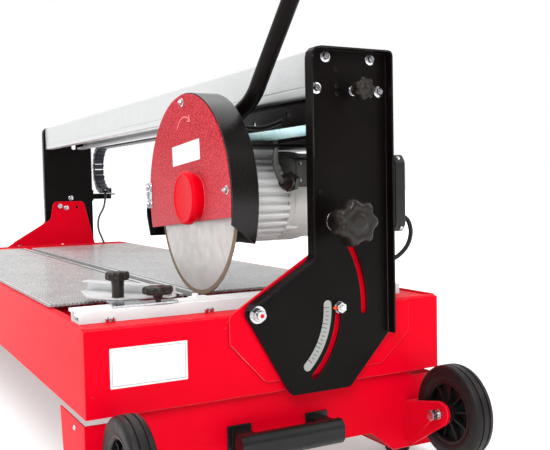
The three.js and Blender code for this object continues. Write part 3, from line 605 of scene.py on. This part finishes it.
def slot_trims():
    """Pale edge strips that narrow the blade's slot, each with a black seal beside the mat."""
    left, right = span("table_left"), span("table_right")
    near, far, top = left[0].y + 1, left[1].y - 1, left[1].z
    for side, edge, way in (("left", left[1].x, 1), ("right", right[0].x, -1)):
        a, b, c = edge + way * 0.2, edge + way * 3.4, edge + way * 12
        bm = block(bmesh.new(), (min(a, b), max(a, b)), (near, far), (top - 5, top - 1))
        piece(f"slot_seal_{side}", bm, RUBBER, "base", bevel=0.4)
        bm = block(bmesh.new(), (min(b, c), max(b, c)), (near, far), (top - 5, top - 0.4))
        block(bm, (min(c - way * 1.6, c), max(c - way * 1.6, c)), (near, far), (top - 12, top - 4.9))
        piece(f"slot_trim_{side}", bm, ALUMINIUM, "base", bevel=0.4)


slot_trims()


# ---- Blade and guard ----

def blade():
    """A thin steel core with a thicker diamond rim round it."""
    low, high = span("saw_blade")
    radius, half = (high.y - low.y) / 2, (high.x - low.x) / 2
    bore, rim, core = 12.9, 7.0, 1.05
    edge = radius - rim
    core_side = [(bore, -core), (edge, -core)]
    rim_side = [(edge - 1.5, 0.25 - half), (edge - 1, -half), (radius - 0.6, -half), (radius, 0.5 - half)]
    for name, look, side, hidden in (("blade_core", BLADE, core_side, ["saw_blade"]),
                                     ("blade_diamond_rim", DIAMOND, rim_side, [])):
        bm = bmesh.new()
        profile = side + [(r, -along) for r, along in side[::-1]]
        lathe(bm, "x", profile + profile[:1], ARBOR.yz, 144, ARBOR.x)
        piece(name, bm, look, "blade", replaces=hidden)


blade()

COVER_LOW, COVER_HIGH = span("guard_cover")
COVER_X = COVER_HIGH.x - 3.0
COVER_R = (COVER_HIGH.y - COVER_LOW.y) / 2
COVER_DROP = 45.0
COVER_SLOPE = 4.6
DRUM = (168, 315.8)
DRUM_DEPTH = 25


def guard_cover():
    """The flat cover, cut off below by a sloping edge, with a pressed drum beside the blade nut."""
    centre = ARBOR.yz
    half = math.degrees(math.acos(COVER_DROP * math.cos(math.radians(COVER_SLOPE)) / COVER_R))
    down = -90 - COVER_SLOPE
    bm = bmesh.new()
    prism(bm, "x", [arc(*centre, COVER_R, down + half, down - half + 360, 120)], COVER_X, COVER_HIGH.x)
    piece("cover_plate", bm, COVER_RED, "head", bevel=0.7, replaces=["guard_cover"])
    bm = bmesh.new()
    end = DRUM_DEPTH - 0.05
    outside = [(0, 1.6), (36, 1.6), (38.5, 1.2), (40.5, 0), (43.2, 0.4), (45.4, 1.8), (46.5, 4.5), (46.5, 12),
               (45.6, 14), (41.5, 20.5), (40.6, 23), (40.6, end)]
    inside = [(37, end), (37.5, 21), (43.2, 12), (43, 6), (38, 4.2), (0, 4.2)]
    lathe(bm, "x", outside + inside, DRUM, 96, COVER_X - DRUM_DEPTH)
    piece("cover_drum", bm, DRUM_RED, "head", smooth=50)
    bm = bmesh.new()
    near, far = ARBOR.y - COVER_R, ARBOR.y + COVER_R
    strip = COVER_X - 1.6
    for x, y, z in ((COVER_X, 220, 487), (COVER_X, near + 10, 329),
                    (strip, far - 3, 336), (strip, far - 3, 302)):
        hex_bolt(bm, (x, y, z), (-1, 0, 0), r=5.2, head=4, washer=8, stud=2.5)
    piece("cover_screws", bm, STEEL, "head")
    bm = bmesh.new()
    for z in (336, 319, 302):
        block(bm, (strip, COVER_X - 0.2), (far - 14, far + 8), (z - 8, z + 8))
        lathe(bm, "z", [(0, -7), (3, -7), (3, 7), (0, 7)], (COVER_X - 2, far + 8), 16, z)
    piece("cover_side_strip", bm, STEEL, "head", bevel=0.3)


def cover_arrow():
    """An embossed turning arrow: an arc with a two-legged tip."""
    y, z, radius = 212, 420, 40
    wire = ring(0, 0, 1.2, 8)
    path = [Vector((COVER_X, 2 * y - p.x, p.y)) for p in arc(y, z, radius, 150, 50, 14)][::-1]
    bm = sweep(bmesh.new(), path, wire)
    tip = path[0]
    back = (path[2] - tip).normalized()
    aside = Vector((0, -back.z, back.y))
    for way in (-1, 1):
        sweep(bm, [tip, tip + back * 11 + aside * way * 6], wire)
    piece("cover_arrow", bm, ARROW, "head")


guard_cover()
cover_arrow()


def guard_shell():
    """The black guard: a rolled rim and a back wall, open below, with a splash lobe at the far side."""
    low, high = span("guard_shell")
    x0, x1, floor, sheet = low.x, high.x, low.z, 2.6
    front, back = x0 - 1, x1 - sheet
    radius = COVER_R + 2
    lobe = [(372, 334), (404, 330, 12), (434, 300, 12), (436, 280, 8), (417, floor), (370, floor)]
    under = floor - 8
    lobe_inside = [(364, 329), (401, 326, 9), (430.5, 298, 9), (432, 281, 7), (411, under), (360, under)]

    def slab(outline, start, end):
        return prism(bmesh.new(), "x", [outline], start, end)

    def disc(r, start, end, steps=144):
        return slab(ring(*ARBOR.yz, r, steps), start, end)

    outside = carve(disc(radius, x0, x1), [slab(rounded(lobe), x0, x1)], "UNION")
    inside = carve(disc(radius - sheet, front, back), [slab(rounded(lobe_inside), front, back)], "UNION")
    below = block(bmesh.new(), (x0 - 2, x1 + 2), (0, 450), (90, floor))
    slant = prism(bmesh.new(), "y", [[Vector(p) for p in (
        (x0 - 2, 90), (x0 - 2, floor + 36), (x1 + 0.5, floor), (x1 + 0.5, 90))]], 0, 130)
    shell = carve(outside, [inside, below, slant, disc(42, back - 1, x1 + 1, 48)])
    piece("guard_rim", shell, GUARD_BLACK, "head", bevel=0.5, replaces=["guard_shell"])


guard_shell()


# ---- Motor ----

def motor():
    """A finned case behind a flange, and a cast bell with four screwed lugs at its far end."""
    low, high = span("motor_body")
    y, z = ARBOR.y, ARBOR.z
    radius, root, fins = 85.0, 75.0, 32
    outline = []
    for i in range(fins):
        for reach, share in (
                (root, 0.0), (radius - 1.6, 0.06), (radius - 0.4, 0.11), (radius, 0.2), (radius, 0.42),
                (radius - 0.4, 0.51), (radius - 1.6, 0.56), (root, 0.64), (root - 0.5, 0.82)):
            turn = 2 * math.pi * (i + share) / fins
            outline.append(Vector((y + reach * math.cos(turn), z + reach * math.sin(turn))))
    bm = prism(bmesh.new(), "x", [outline, ring(y, z, 40, 48)], low.x + 10, high.x)
    flange = [(13.2, 0), (80, 0), (82, 2), (82, 11), (80, 13), (13.2, 13), (13.2, 0)]
    lathe(bm, "x", flange, (y, z), 96, low.x)
    block(bm, (low.x + 20, high.x - 10), (y - 38, y + 38), (z + 76, high.z))
    piece("motor_case", bm, FINS, "head", smooth=28, replaces=["motor_body"])

    low, high = span("motor_end_bell")
    length, lug = high.x - low.x, 27
    corners = arc(y, z, 80, 45, 315, 3)
    bm = bmesh.new()
    bell = [(0, 0), (82.5, 0), (84, 1.5), (84, 7), (82.8, 8), (82.8, 10), (84.4, 11), (84.8, 40), (83, 52),
            (80.5, 60), (79, length - 12), (77, length - 6), (72, length - 1.5), (68, length), (0, length)]
    lathe(bm, "x", bell, (y, z), 96, low.x)
    for corner in corners:
        lathe(bm, "x", [(0, 2), (6.5, 2), (6.5, lug - 3), (4, lug), (0, lug)], corner, 20, low.x)
    piece("motor_bell", bm, CASTING, "head", smooth=45, replaces=["motor_end_bell"])
    bm = bmesh.new()
    for corner in corners:
        hex_bolt(bm, (low.x + lug, *corner), (1, 0, 0), r=4.4, head=3.6)
    piece("bell_screws", bm, STEEL, "head")


motor()


def terminal_details():
    """The terminal box's lid with its screws, and a gland with the motor's grey cable."""
    low, high = span("terminal_box")
    bm = bmesh.new()
    prism(bm, "y", [box_outline(low.x + 6, high.x - 6, low.z + 6, high.z - 5, 4)], low.y - 2.5, low.y + 0.5)
    piece("terminal_lid", bm, BOX_GREY, "head", bevel=0.8)
    bm = bmesh.new()
    for x in (low.x + 12, high.x - 12):
        for z in (low.z + 12, high.z - 11):
            pan_screw(bm, (x, low.y - 2.5, z), (0, -1, 0), r=3.0, head=1.8)
    piece("terminal_screws", bm, STEEL, "head")
    y, z = low.y + 9, low.z + 10
    bm = bmesh.new()

    def gland(part):
        loft(part, [[Vector((*p, h)) for p in hexagon(18.5, 10)] for h in (-3, 8)])
        nut = [(0, 7), (15, 7), (15.5, 9), (15.5, 15), (13, 18), (12, 22), (8, 27), (0, 27)]
        lathe(part, "z", nut, (0, 0), 28)
    placed(bm, gland, towards((low.x, y, z), (-1, -0.45, -0.02)))
    piece("terminal_gland", bm, KNOB, "head", bevel=0.5)
    bm = bmesh.new()
    x = low.x
    cable(bm, [(x + a, y + b, z + c) for a, b, c in (
        (-20, -9, 0), (-29, -14, 4), (-36, -16, 16), (-40, -16, 30), (-39, -15, 48), (-36, -12, 64),
        (-35, -6, 76), (-37, 14, 84), (-44, 60, 85), (-52, 130, 85))], 4.8)
    piece("motor_cable", bm, CABLE, "head")


terminal_details()


def switch_details():
    """Corner screws, button collars, buttons, a reset cap and the cable loop of the switch box."""
    low, high = span("switch_box")
    y0, z0, y1, z1 = low.y, low.z, high.y, high.z
    face = high.x
    bm = bmesh.new()
    for y in (y0 + 24, y1 - 24):
        for z in (z0 + 24, z1 - 24):
            pan_screw(bm, (face, y, z), (1, 0, 0), r=4.2, head=2.6)
    for x, way in ((face - 14, 1), (face - 8, -1), (face - 66, 1), (face - 66, -1)):
        z = (z0 + z1) / 2 + way * ((z1 - z0) / 2 - 7)
        pan_screw(bm, (x, y0 + 4.6, z), (0, -1, way * 0.7), r=4.2, head=2.6)
    piece("switch_screws", bm, STEEL, "head")
    for node, look in (("start_button", GREEN), ("stop_button", BUTTON_RED)):
        centre = middle(node)
        front = span(node)[1].x
        back = span(node)[0].x - front
        cap = [(0, back), (10.9, back), (10.9, -2.2), (10.2, -0.8), (8.5, -0.1), (0, -0.4)]
        bm = lathe(bmesh.new(), "x", cap, centre.yz, 40, front)
        piece(f"{node}_cap", bm, look, node, replaces=[node])
        collar = [(12.2, -0.5), (16, -0.5), (16, 2), (14.8, 3), (12.2, 3), (12.2, -0.5)]
        bm = lathe(bmesh.new(), "x", collar, centre.yz, 40, face)
        piece(f"{node}_collar", bm, PLASTIC, "head", smooth=50)
    y = y0 + 22
    for name, profile, centre, steps in (
            ("overload_cap", [(0, -0.4), (9, -0.4), (9, 4), (7.5, 5), (0, 5)], (ARBOR.y, ARBOR.z - 32), 32),
            ("switch_gland", [(0, -1), (9.5, -1), (9.5, 5), (8, 9), (5.6, 12), (0, 12)], (y, z0 + 26), 28)):
        bm = lathe(bmesh.new(), "x", profile, centre, steps, face)
        piece(name, bm, KNOB, "head", smooth=50)
    bm = bmesh.new()
    cable(bm, [(face + a, y + b, z0 + c) for a, b, c in (
        (4, 0, 26), (13, 0, 27), (24, 0, 17), (29, 0, -3), (23, 0, -25), (8, 0, -42), (-14, 0, -54),
        (-46, 2, -56), (-76, 6, -38), (-96, 12, -14), (-101, 14, 4))], 4.4)
    piece("switch_cable", bm, RUBBER, "head")


switch_details()


# ---- Handle, hose and the leads above the motor ----

def pull_handle():
    """A bent tube with a ribbed rubber grip, held in a saddle on the head's plate."""
    x = middle("pull_handle").x
    low, high = span("pull_handle")
    bend = smooth_path([(x, y, z) for y, z in (
        (262, 421), (205, 443), (150, 464), (113, 477), (86, 493), (66, 513))], 10)
    tip = Vector((x, low.y + 10, high.z - 10))
    start = bend[-1]
    path = bend[:-1] + [start.lerp(tip, t / 6) for t in range(7)]
    bm = sweep(bmesh.new(), path, ring(0, 0, 14, 32), up=Vector((1, 0, 0)))
    piece("handle_tube", bm, BLACK, "head", smooth=50, replaces=["pull_handle"])
    bm = bmesh.new()
    away = (tip - start).normalized()
    length, ribs = 118.0, 60
    reaches = [14.6] + [16.8 if i % 2 else 15.8 for i in range(1, ribs)] + [15.0]
    side, lift = Vector((1, 0, 0)), Vector((1, 0, 0)).cross(away)
    first = tip - away * (length - 4)
    loft(bm, [[first + away * (i / ribs * length) + side * p.x + lift * p.y for p in ring(0, 0, reach, 32)]
              for i, reach in enumerate(reaches)])
    piece("handle_grip", bm, RUBBER, "head", smooth=60)
    bm = bmesh.new()
    top = span("head_plate")[1].z + 0.3
    cheek = rounded([(212, top), (264, top), (264, top + 6),
                     (252, top + 20, 5), (226, top + 26, 5), (212, top + 6)])
    for left in (x - 17, x + 14.4):
        prism(bm, "x", [cheek], left, left + 2.6)
    prism(bm, "z", [box_outline(x - 26, x + 26, 210, 266, 4)], top, top + 3)
    piece("handle_saddle", bm, BLACK, "head", bevel=0.4)


pull_handle()


def leads():
    """The water hose from the guard to the cable chain's side, and black leads under the beam."""
    plate_top = span("motor_body")[1].z + 6
    bm = bmesh.new()
    cable(bm, [(x, y, plate_top + lift) for x, y, lift in (
        (318, 268, 12), (330, 232, 12), (352, 160, 13), (368, 100, 15), (379, 50, 17), (394, 10, 19),
        (424, 2, 20), (470, 2, 20), (508, 4, 20), (530, 30, 22), (534, 90, 26), (538, 220, 30))], 9.0, 20)
    piece("water_hose", bm, HOSE, "head")
    bm = bmesh.new()
    way = ((352, 1, 250, 0), (360, 1, 200, 6), (372, 0, 150, 2), (378, -1, 110, 5), (380, -1, 76, 10))
    for lift, radius, shift in ((11, 3.6, 0), (21, 3.0, 6), (30, 3.2, 2)):
        cable(bm, [(x + side * shift, y, plate_top + lift + rise) for x, side, y, rise in way], radius, 12)
    piece("black_leads", bm, RUBBER, "head")


leads()


# ---- Knobs ----

LOBES = 7
KNOB_STEPS = 16 * LOBES


def star_outline(r, dip=0.085):
    points = []
    for i in range(KNOB_STEPS):
        turn = 2 * math.pi * i / KNOB_STEPS
        wave = math.cos(LOBES * turn)
        reach = r * (1 - dip + dip * math.copysign(abs(wave) ** 0.8, wave))
        points.append(Vector((math.cos(turn), math.sin(turn))) * reach)
    return points


def star_knob(name, node, direction, head, stem, neck=0.0):
    """A lobed knob with rounded shoulders, a raised boss and a shallow dish round it."""
    low, high = span(node)
    centre = (low + high) / 2
    axis = "xyz".index("x" if direction[0] else "y" if direction[1] else "z")
    length = high[axis] - low[axis]
    r = max(high[i] - low[i] for i in range(3) if i != axis) / 2
    foot = centre.copy()
    foot[axis] = low[axis] if direction[axis] > 0 else high[axis]
    under = length - head
    shoulders = ((0.84, 0), (0.94, 0.06), (1.0, 0.25), (1.0, 0.62), (0.95, 0.84), (0.86, 0.96))
    layers = [(share, under + rise * head) for share, rise in shoulders]
    layers += [(0.76, length - 0.4), (0.62, length - 1.2)]

    def build(part):
        star = star_outline(r)
        plain = ring(0, 0, r * 0.89, KNOB_STEPS)

        def layer(share, h, star_share):
            return [Vector((*(a.lerp(b, star_share) * share), h)) for a, b in zip(plain, star)]
        skin = [layer(share, h, 1 if share > 0.7 else 0.6) for share, h in layers]
        skin += [layer(share, length - drop, 0) for share, drop in (
            (0.42, 1.4), (0.36, 0.4), (0.324, 0), (0.18, 0))]
        loft(part, skin)
        end = under + 0.3 * head
        lathe(part, "z", [(0, 0), (stem, 0), (stem, under * 0.6), (stem * 1.15, end), (0, end)], (0, 0), 32)
        if neck:
            cone = [(0, -7), (neck * 0.7, -7), (neck, 1), (neck, 2), (0, 2)]
            lathe(part, "z", cone, (0, 0), 32, under)
    bm = placed(bmesh.new(), build, towards(foot, direction))
    piece(name, bm, KNOB, node, smooth=42, replaces=[node])


star_knob("lock_star_front", "lock_knob_front", (0, -1, 0), head=36, stem=18)
star_knob("lock_star_rear", "lock_knob_rear", (0, 1, 0), head=36, stem=18)
star_knob("beam_star", "beam_knob", (0, -1, 0), head=18, stem=4, neck=9)
star_knob("mitre_star", "mitre_knob", (0, 0, 1), head=14, stem=10)
star_knob("rail_star", "rail_knob", (0, 0, 1), head=13, stem=4.5, neck=9.5)


# ---- Wheels ----

def wheel(side):
    """A grooved tyre on a two-sided hub with nine ribs."""
    low, high = span(f"tyre_{side}")
    centre, half, r = (low + high) / 2, (high.x - low.x) / 2, (high.z - low.z) / 2
    groove, floor = ((-1.5, 0), (-0.9, 1), (0.9, 1), (1.5, 0)), r - 2.2
    tread = [(floor if deep else r, place + along) for place in (-6.5, 6.5) for along, deep in groove]
    wall = [(54.2, 3), (60, 0.6), (63, 0), (65, 0.5), (72, 0.2), (75.5, 1.4), (78.4, 4), (r - 0.3, 7.5)]
    near, far = [(reach, dip - half) for reach, dip in wall], [(reach, half - dip) for reach, dip in wall[::-1]]
    bm = lathe(bmesh.new(), "x", near + tread + far + near[:1], centre.yz, 96, centre.x)
    piece(f"tyre_ring_{side}", bm, TYRE, f"wheel_{side}", smooth=40, replaces=[f"tyre_{side}"])

    bm = bmesh.new()
    outer = [(53.9, 16.5), (49.5, 16), (47.5, 14), (47.5, 3), (17, 1.5), (17, 17.4), (15.5, 18.4), (5.4, 18.4)]
    profile = outer + [(reach, -along) for reach, along in outer[::-1]]
    lathe(bm, "x", profile + profile[:1], centre.yz, 72, centre.x)
    for i in range(9):
        turn = Matrix.Rotation(2 * math.pi * i / 9, 4, "X")

        def rib(part):
            for s in (-1, 1):
                shape = [(15, s * 1.4), (48.5, s * 2.6), (48.5, s * 11), (40, s * 9), (15, s * 15)]
                layers = [[Vector((along, w, reach)) for reach, along in shape] for w in (-1.7, 1.7)]
                loft(part, layers)
        placed(bm, rib, Matrix.Translation(centre) @ turn)
    piece(f"hub_{side}", bm, PLASTIC, f"wheel_{side}", smooth=35, replaces=[f"wheel_hub_{side}"])


wheel("left")
wheel("right")


# ---- Cable chain ----

def cable_chain():
    """Links along the chain's run: a long upper run, a half turn and a short lower end."""
    low, high = span("cable_chain")
    x0, x1 = low.x, high.x
    thick, pitch = 18.0, 22.0
    outer = (high.z - low.z) / 2
    bend_y, mid = high.y - outer, (low.z + high.z) / 2
    reach = outer - thick / 2
    upper = bend_y - low.y - 4
    arc_length = math.pi * reach
    total = upper + arc_length + 32

    def place(distance):
        if distance < upper:
            return Vector((0, low.y + 4 + distance, mid + reach)), 0.0
        if distance < upper + arc_length:
            turn = (distance - upper) / reach
            return Vector((0, bend_y + reach * math.sin(turn), mid + reach * math.cos(turn))), -turn
        return Vector((0, bend_y - (distance - upper - arc_length), mid - reach)), -math.pi
    bm = bmesh.new()
    for i in range(int(total / pitch)):
        centre, turn = place((i + 0.5) * pitch)
        shift = 0.0 if i % 2 else 1.0

        def link(part):
            side = rounded([(-11.5, -7.2, 5), (0, -9.6, 2), (9.5, -9.6, 3),
                            (9.5, 9.6, 3), (0, 9.6, 2), (-11.5, 7.2, 5)], 4)
            for a, b in ((x0 + shift, x0 + 4.4), (x1 - 4.4, x1 - shift)):
                prism(part, "x", [side], a, b)
                lathe(part, "x", [(0, a - 0.5), (4.2, a - 0.5), (4.2, b + 0.5), (0, b + 0.5)], (-4, 0), 18)
            for z in (-9.0, 6.6):
                block(part, (x0 + 3, x1 - 3), (-7, 9), (z, z + 2.4))
        placed(bm, link, Matrix.Translation(centre) @ Matrix.Rotation(turn, 4, "X"))
    piece("chain_links", bm, CHAIN, "bridge", smooth=30, replaces=["cable_chain"])
    bm = bmesh.new()
    for x in (x0 + 12, x0 + 26):
        cable(bm, [(x, low.y + along, mid + reach) for along in (2, 300, 600)], 5.0, 12, 4)
    piece("chain_lead", bm, RUBBER, "bridge")
    bm = bmesh.new()
    y = TRAY.y - 14
    cable(bm, [(580, y + 2, mid - reach + 6), (590, y, mid - reach - 12), (582, y - 4, 268),
               (561, y - 6, 226), (559, y - 4, 186), (572, y - 2, 150), (580, y, 131)], 3.8, 12)
    piece("chain_feed", bm, CABLE, ("base", "bridge", (580, y, 140), (580, y, mid - reach - 6)))


cable_chain()


# ---- Small parts on the plates, rail, tray and stands ----

def plate_bolts():
    """Bolts through each tilting plate into the beam, other small bolts, dimples and a dot of paint."""
    rear = TRAY.y
    bm = bmesh.new()
    for x, z in ((409, 544), (497.5, 543.5), (391, 492), (514.5, 490)):
        hex_bolt(bm, (x, PLATE_FACE, z), (0, -1, 0), r=6.2, head=5, washer=9.5, stud=2.5)
    knob = middle("beam_knob")
    hex_bolt(bm, (knob.x, PLATE_FACE, knob.z), (0, -1, 0), r=7.5, head=7, washer=8.5, stud=1)
    piece("beam_bolts_front", bm, STEEL, "bridge")
    bm = bmesh.new()
    for x, z in ((409, 544), (510, 543.5), (391, 492), (528, 490)):
        hex_bolt(bm, (x, rear - PLATE_FACE, z), (0, 1, 0), r=6.2, head=5, washer=9.5, stud=2.5)
    hex_bolt(bm, (466, rear + 8, 302), (0, -1, 0), r=6, head=4.5, washer=9)
    piece("beam_bolts_rear", bm, STEEL, "bridge")
    bm = bmesh.new()
    hex_bolt(bm, (446, rear + 0.3, 266), (0, -1, 0), r=6, head=4.5, washer=9)
    piece("fixed_plate_bolt", bm, STEEL, "base")
    bm = bmesh.new()
    for x, z in ((430, 524), (431, 497), (432, 484), (397, 322)):
        lathe(bm, "y", [(3.4, 0.1), (3.0, -0.4), (1.5, -0.9), (0, -1)], (x, z), 20, PLATE_FACE)
        bmesh.ops.holes_fill(bm, edges=bm.edges[:], sides=64)
    piece("plate_dimples", bm, BLACK, "bridge", smooth=60)
    tip = span("pivot_bolt_front")[0].y
    bm = lathe(bmesh.new(), "y", [(0, 1), (3.6, 1), (3.4, -0.4), (0, -0.7)], PIVOT.xz, 20, tip)
    piece("pivot_paint_mark", bm, RED, "base", smooth=60)


plate_bolts()


def pointer():
    """The angle pointer, a pointed plate held under the stop nut, and the scale's marks."""
    bolt = middle("stop_bolt")
    bm = bmesh.new()
    y = PLATE_FACE - 3.5
    shape = ((7, -6, 2), (7, 6, 2), (-4, 6), (-13.5, 1), (-13.5, -1), (-4, -6))
    prism(bm, "y", [rounded([(bolt.x + u, bolt.z + v, *cut) for u, v, *cut in shape])], y - 1.4, y)
    piece("angle_pointer", bm, POINTER, "base", bevel=0.2)
    bm = bmesh.new()
    face = span("angle_scale")[0].y
    for degrees in range(-42, 1, 3):
        long_mark = degrees % 15 == 3 or degrees % 5 == 0
        a = math.radians(degrees)
        inner, outer = (123 if long_mark else 127), 133
        along, aside = Vector((math.cos(a), math.sin(a))), Vector((-math.sin(a), math.cos(a))) * 0.5
        mark = [PIVOT.xz + along * r + aside * s for r, s in ((inner, -1), (outer, -1), (outer, 1), (inner, 1))]
        prism(bm, "y", [mark], face - 0.12, face + 0.05)
    piece("angle_marks", bm, PLASTIC, "bridge")


pointer()


def labels():
    """Blank plates where the machine carries stickers."""
    bm = prism(bmesh.new(), "y", [box_outline(38, 160, 41, 101, 1.5)], -0.45, 0.02)
    piece("label_tray", bm, LABEL, "base", bevel=0.12)
    bm = bmesh.new()
    prism(bm, "y", [box_outline(41, 157, 44, 98, 1), box_outline(42, 156, 45, 97, 1)], -0.55, -0.4)
    piece("label_tray_frame", bm, INK, "base")
    bm = bmesh.new()
    corners = ((274, 408.5, 1.5), (147, 418.5, 1.5), (145, 382.5, 1.5), (272, 372.5, 1.5))
    prism(bm, "x", [rounded(corners)], COVER_X - 0.45, COVER_X + 0.02)
    piece("label_guard", bm, LABEL, "head", bevel=0.12)


def rail_details():
    """The fence rail's grooved profile with its plug, screws and stop."""
    low, high = span("fence_rail")
    bm = bmesh.new()
    z = low.z + 4.2
    for x in (54.6, 63.4, 220, 229, 420, 429, 575, 584):
        pan_screw(bm, (x, low.y, z), (0, -1, 0), r=3.9, head=4.0)
    piece("rail_screws", bm, STEEL, "base")
    y0, y1, z0, z1 = low.y, high.y, low.z, high.z
    bar = y0 + 46
    bm = bmesh.new()
    outside = rounded([
        (y0, z0), (bar, z0), (bar, z1 - 5), (y1, z1 - 5), (y1, z1), (y0 + 22, z1, 0.5), (y0 + 22, z1 - 2.5),
        (y0 + 25, z1 - 2.5), (y0 + 25, z1 - 7), (y0 + 10, z1 - 7), (y0 + 10, z1 - 2.5), (y0 + 13, z1 - 2.5),
        (y0 + 13, z1, 0.5), (y0, z1, 1.2)], 3)
    hollow = [Vector(p) for p in ((y0 + 2.5, z0 + 2.5), (bar - 2.5, z0 + 2.5), (bar - 2.5, z1 - 2.5),
                                  (y0 + 28, z1 - 2.5), (y0 + 28, z1 - 9), (y0 + 2.5, z1 - 9))]
    prism(bm, "x", [outside, hollow], low.x, high.x)
    piece("rail_profile", bm, RAIL_METAL, "base", smooth=25, replaces=["fence_rail"])
    bm = prism(bmesh.new(), "x", [hollow], low.x + 9, low.x + 12)
    piece("rail_plug", bm, PLASTIC, "base")
    bm = block(bmesh.new(), (206, 236), (low.y + 27, low.y + 45), (high.z + 0.1, high.z + 4))
    lathe(bm, "z", [(0, 4), (5.5, 4), (5.5, 8), (4.5, 9), (0, 9)], (216, low.y + 36), 24, high.z)
    piece("rail_stop", bm, RAIL_METAL, "base", bevel=0.3)


def tray_details():
    """The rolled rim of the tray, weld dots, rivets and the drain plug."""
    bm = bmesh.new()
    inset, top = 2.4, TRAY.z
    right, far = TRAY.x - inset, TRAY.y - inset
    corners = rounded([(inset, inset, 10), (right, inset, 10), (right, far, 10), (inset, far, 10)], 6)
    section = [(2.3, -0.6), (2.3, 2.0), (1.2, 3.3), (-1.2, 3.3), (-2.3, 2.0), (-2.3, -0.6)]
    rows = []
    for i, here in enumerate(corners):
        ahead = (corners[(i + 1) % len(corners)] - corners[i - 1]).normalized()
        out = Vector((ahead.y, -ahead.x))
        rows.append([bm.verts.new((here.x + out.x * u, here.y + out.y * u, top + v)) for u, v in section])
    for a, b in zip(rows, rows[1:] + rows[:1]):
        for k in range(len(section)):
            m = (k + 1) % len(section)
            bm.faces.new((a[k], a[m], b[m], b[k]))
    piece("tray_rim", bm, RED, "base", smooth=30)
    bm = bmesh.new()
    dot = [(0, -0.2), (2.2, -0.2), (1.9, 0.5), (1.0, 0.9), (0, 1.0)]
    for x, z in ((12, 32), (229.5, 122), (227, 112.5), (636, 32), (420, 12)):
        placed(bm, lambda part: lathe(part, "z", dot, (0, 0), 16), towards((x, 0, z), (0, -1, 0)))
    piece("weld_dots", bm, RED, "base", smooth=60)
    bm = bmesh.new()
    for x, direction in ((0, (-1, 0, 0)), (TRAY.x, (1, 0, 0))):
        for y in (63, TRAY.y - 63):
            pan_screw(bm, (x, y, -25), direction, r=4.2, head=2.4)
    piece("stand_rivets", bm, STEEL, "base")
    bm = bmesh.new()
    placed(bm, lambda part: (lathe(part, "z", [(0, 0), (17, 0), (17, 4), (15, 6), (0, 6)], (0, 0), 32),
                             block(part, (-3, 3), (-13, 13), (5.5, 11))),
           towards((TRAY.x, 1580, 22), (1, 0, 0)))
    piece("drain_plug", bm, PLASTIC, "base", bevel=0.5)


labels()
rail_details()
tray_details()


# ---- Floor, light and camera ----

def studio():
    """A white floor that glows softly further out, a pale world and three soft lights."""
    bm = bmesh.new()
    bmesh.ops.create_grid(bm, x_segments=1, y_segments=1, size=40)
    floor = to_object("floor", bm)
    look = Look("floor_white", (0.92, 0.92, 0.92), 0.7)
    look.set("Emission Color", (1, 1, 1, 1)).set("Specular IOR Level", 0.1)
    look.drive("Emission Strength", look.steps(look.distance(), 1.3, 3.2, 0.26, 0.9))
    look.tint(look.steps(look.noise(2, 3), 0.3, 0.7, 0.0, 0.3), (0.87, 0.87, 0.87))
    floor.data.materials.append(look.material)

    world = bpy.data.worlds.new("studio")
    bpy.context.scene.world = world
    world.use_nodes = True
    tree = world.node_tree
    tree.nodes.clear()
    direction = add_node(tree, "TexCoord", output="Generated")
    depth = add_node(tree, "SeparateXYZ", {0: direction}, "Y")
    strength = add_node(tree, "MapRange", {"Value": depth, "From Min": -0.35, "From Max": 0.6,
                                           "To Min": 0.22, "To Max": 1.05}, "Result")
    white = (1, 1, 1, 1)
    light = add_node(tree, "Background", {"Color": white, "Strength": strength})
    backdrop = add_node(tree, "Background", {"Color": white, "Strength": 1.0})
    seen = add_node(tree, "LightPath", output="Is Camera Ray")
    blend = add_node(tree, "MixShader", {0: seen, 1: light, 2: backdrop})
    tree.links.new(blend, tree.nodes.new("ShaderNodeOutputWorld").inputs["Surface"])

    def softbox(name, place, size, power):
        lamp = bpy.data.lights.new(name, "AREA")
        lamp.shape = "RECTANGLE"
        lamp.size, lamp.size_y = size
        lamp.energy = power
        obj = bpy.data.objects.new(name, lamp)
        obj.location = place
        obj.rotation_euler = (Vector((0, -0.2, 0.35)) - Vector(place)).to_track_quat("-Z", "Y").to_euler()
        bpy.context.scene.collection.objects.link(obj)
    softbox("key", (-1.6, -3.2, 3.0), (2.2, 2.0), 106)
    softbox("fill", (2.8, -2.2, 2.2), (2.5, 2.5), 40)
    softbox("top", (0.0, 0.4, 3.6), (3.5, 3.5), 72)


def camera():
    """The camera stands near the left front corner, low, and looks along the machine."""
    turn, tilt, roll = math.radians(-28.40), math.radians(90 - 2.80), math.radians(-1.10)
    data = bpy.data.cameras.new("camera")
    data.sensor_width = 36
    data.lens = 53.43
    data.clip_start = 0.05
    obj = bpy.data.objects.new("camera", data)
    rotation = Matrix.Rotation(turn, 4, "Z") @ Matrix.Rotation(tilt, 4, "X") @ Matrix.Rotation(roll, 4, "Z")
    obj.matrix_world = Matrix.Translation(TO_ROW @ Vector((-308.1, -1155.8, 335.4))) @ rotation
    bpy.context.scene.collection.objects.link(obj)
    bpy.context.scene.camera = obj
    bpy.context.scene.view_settings.view_transform = "Standard"


studio()
camera()
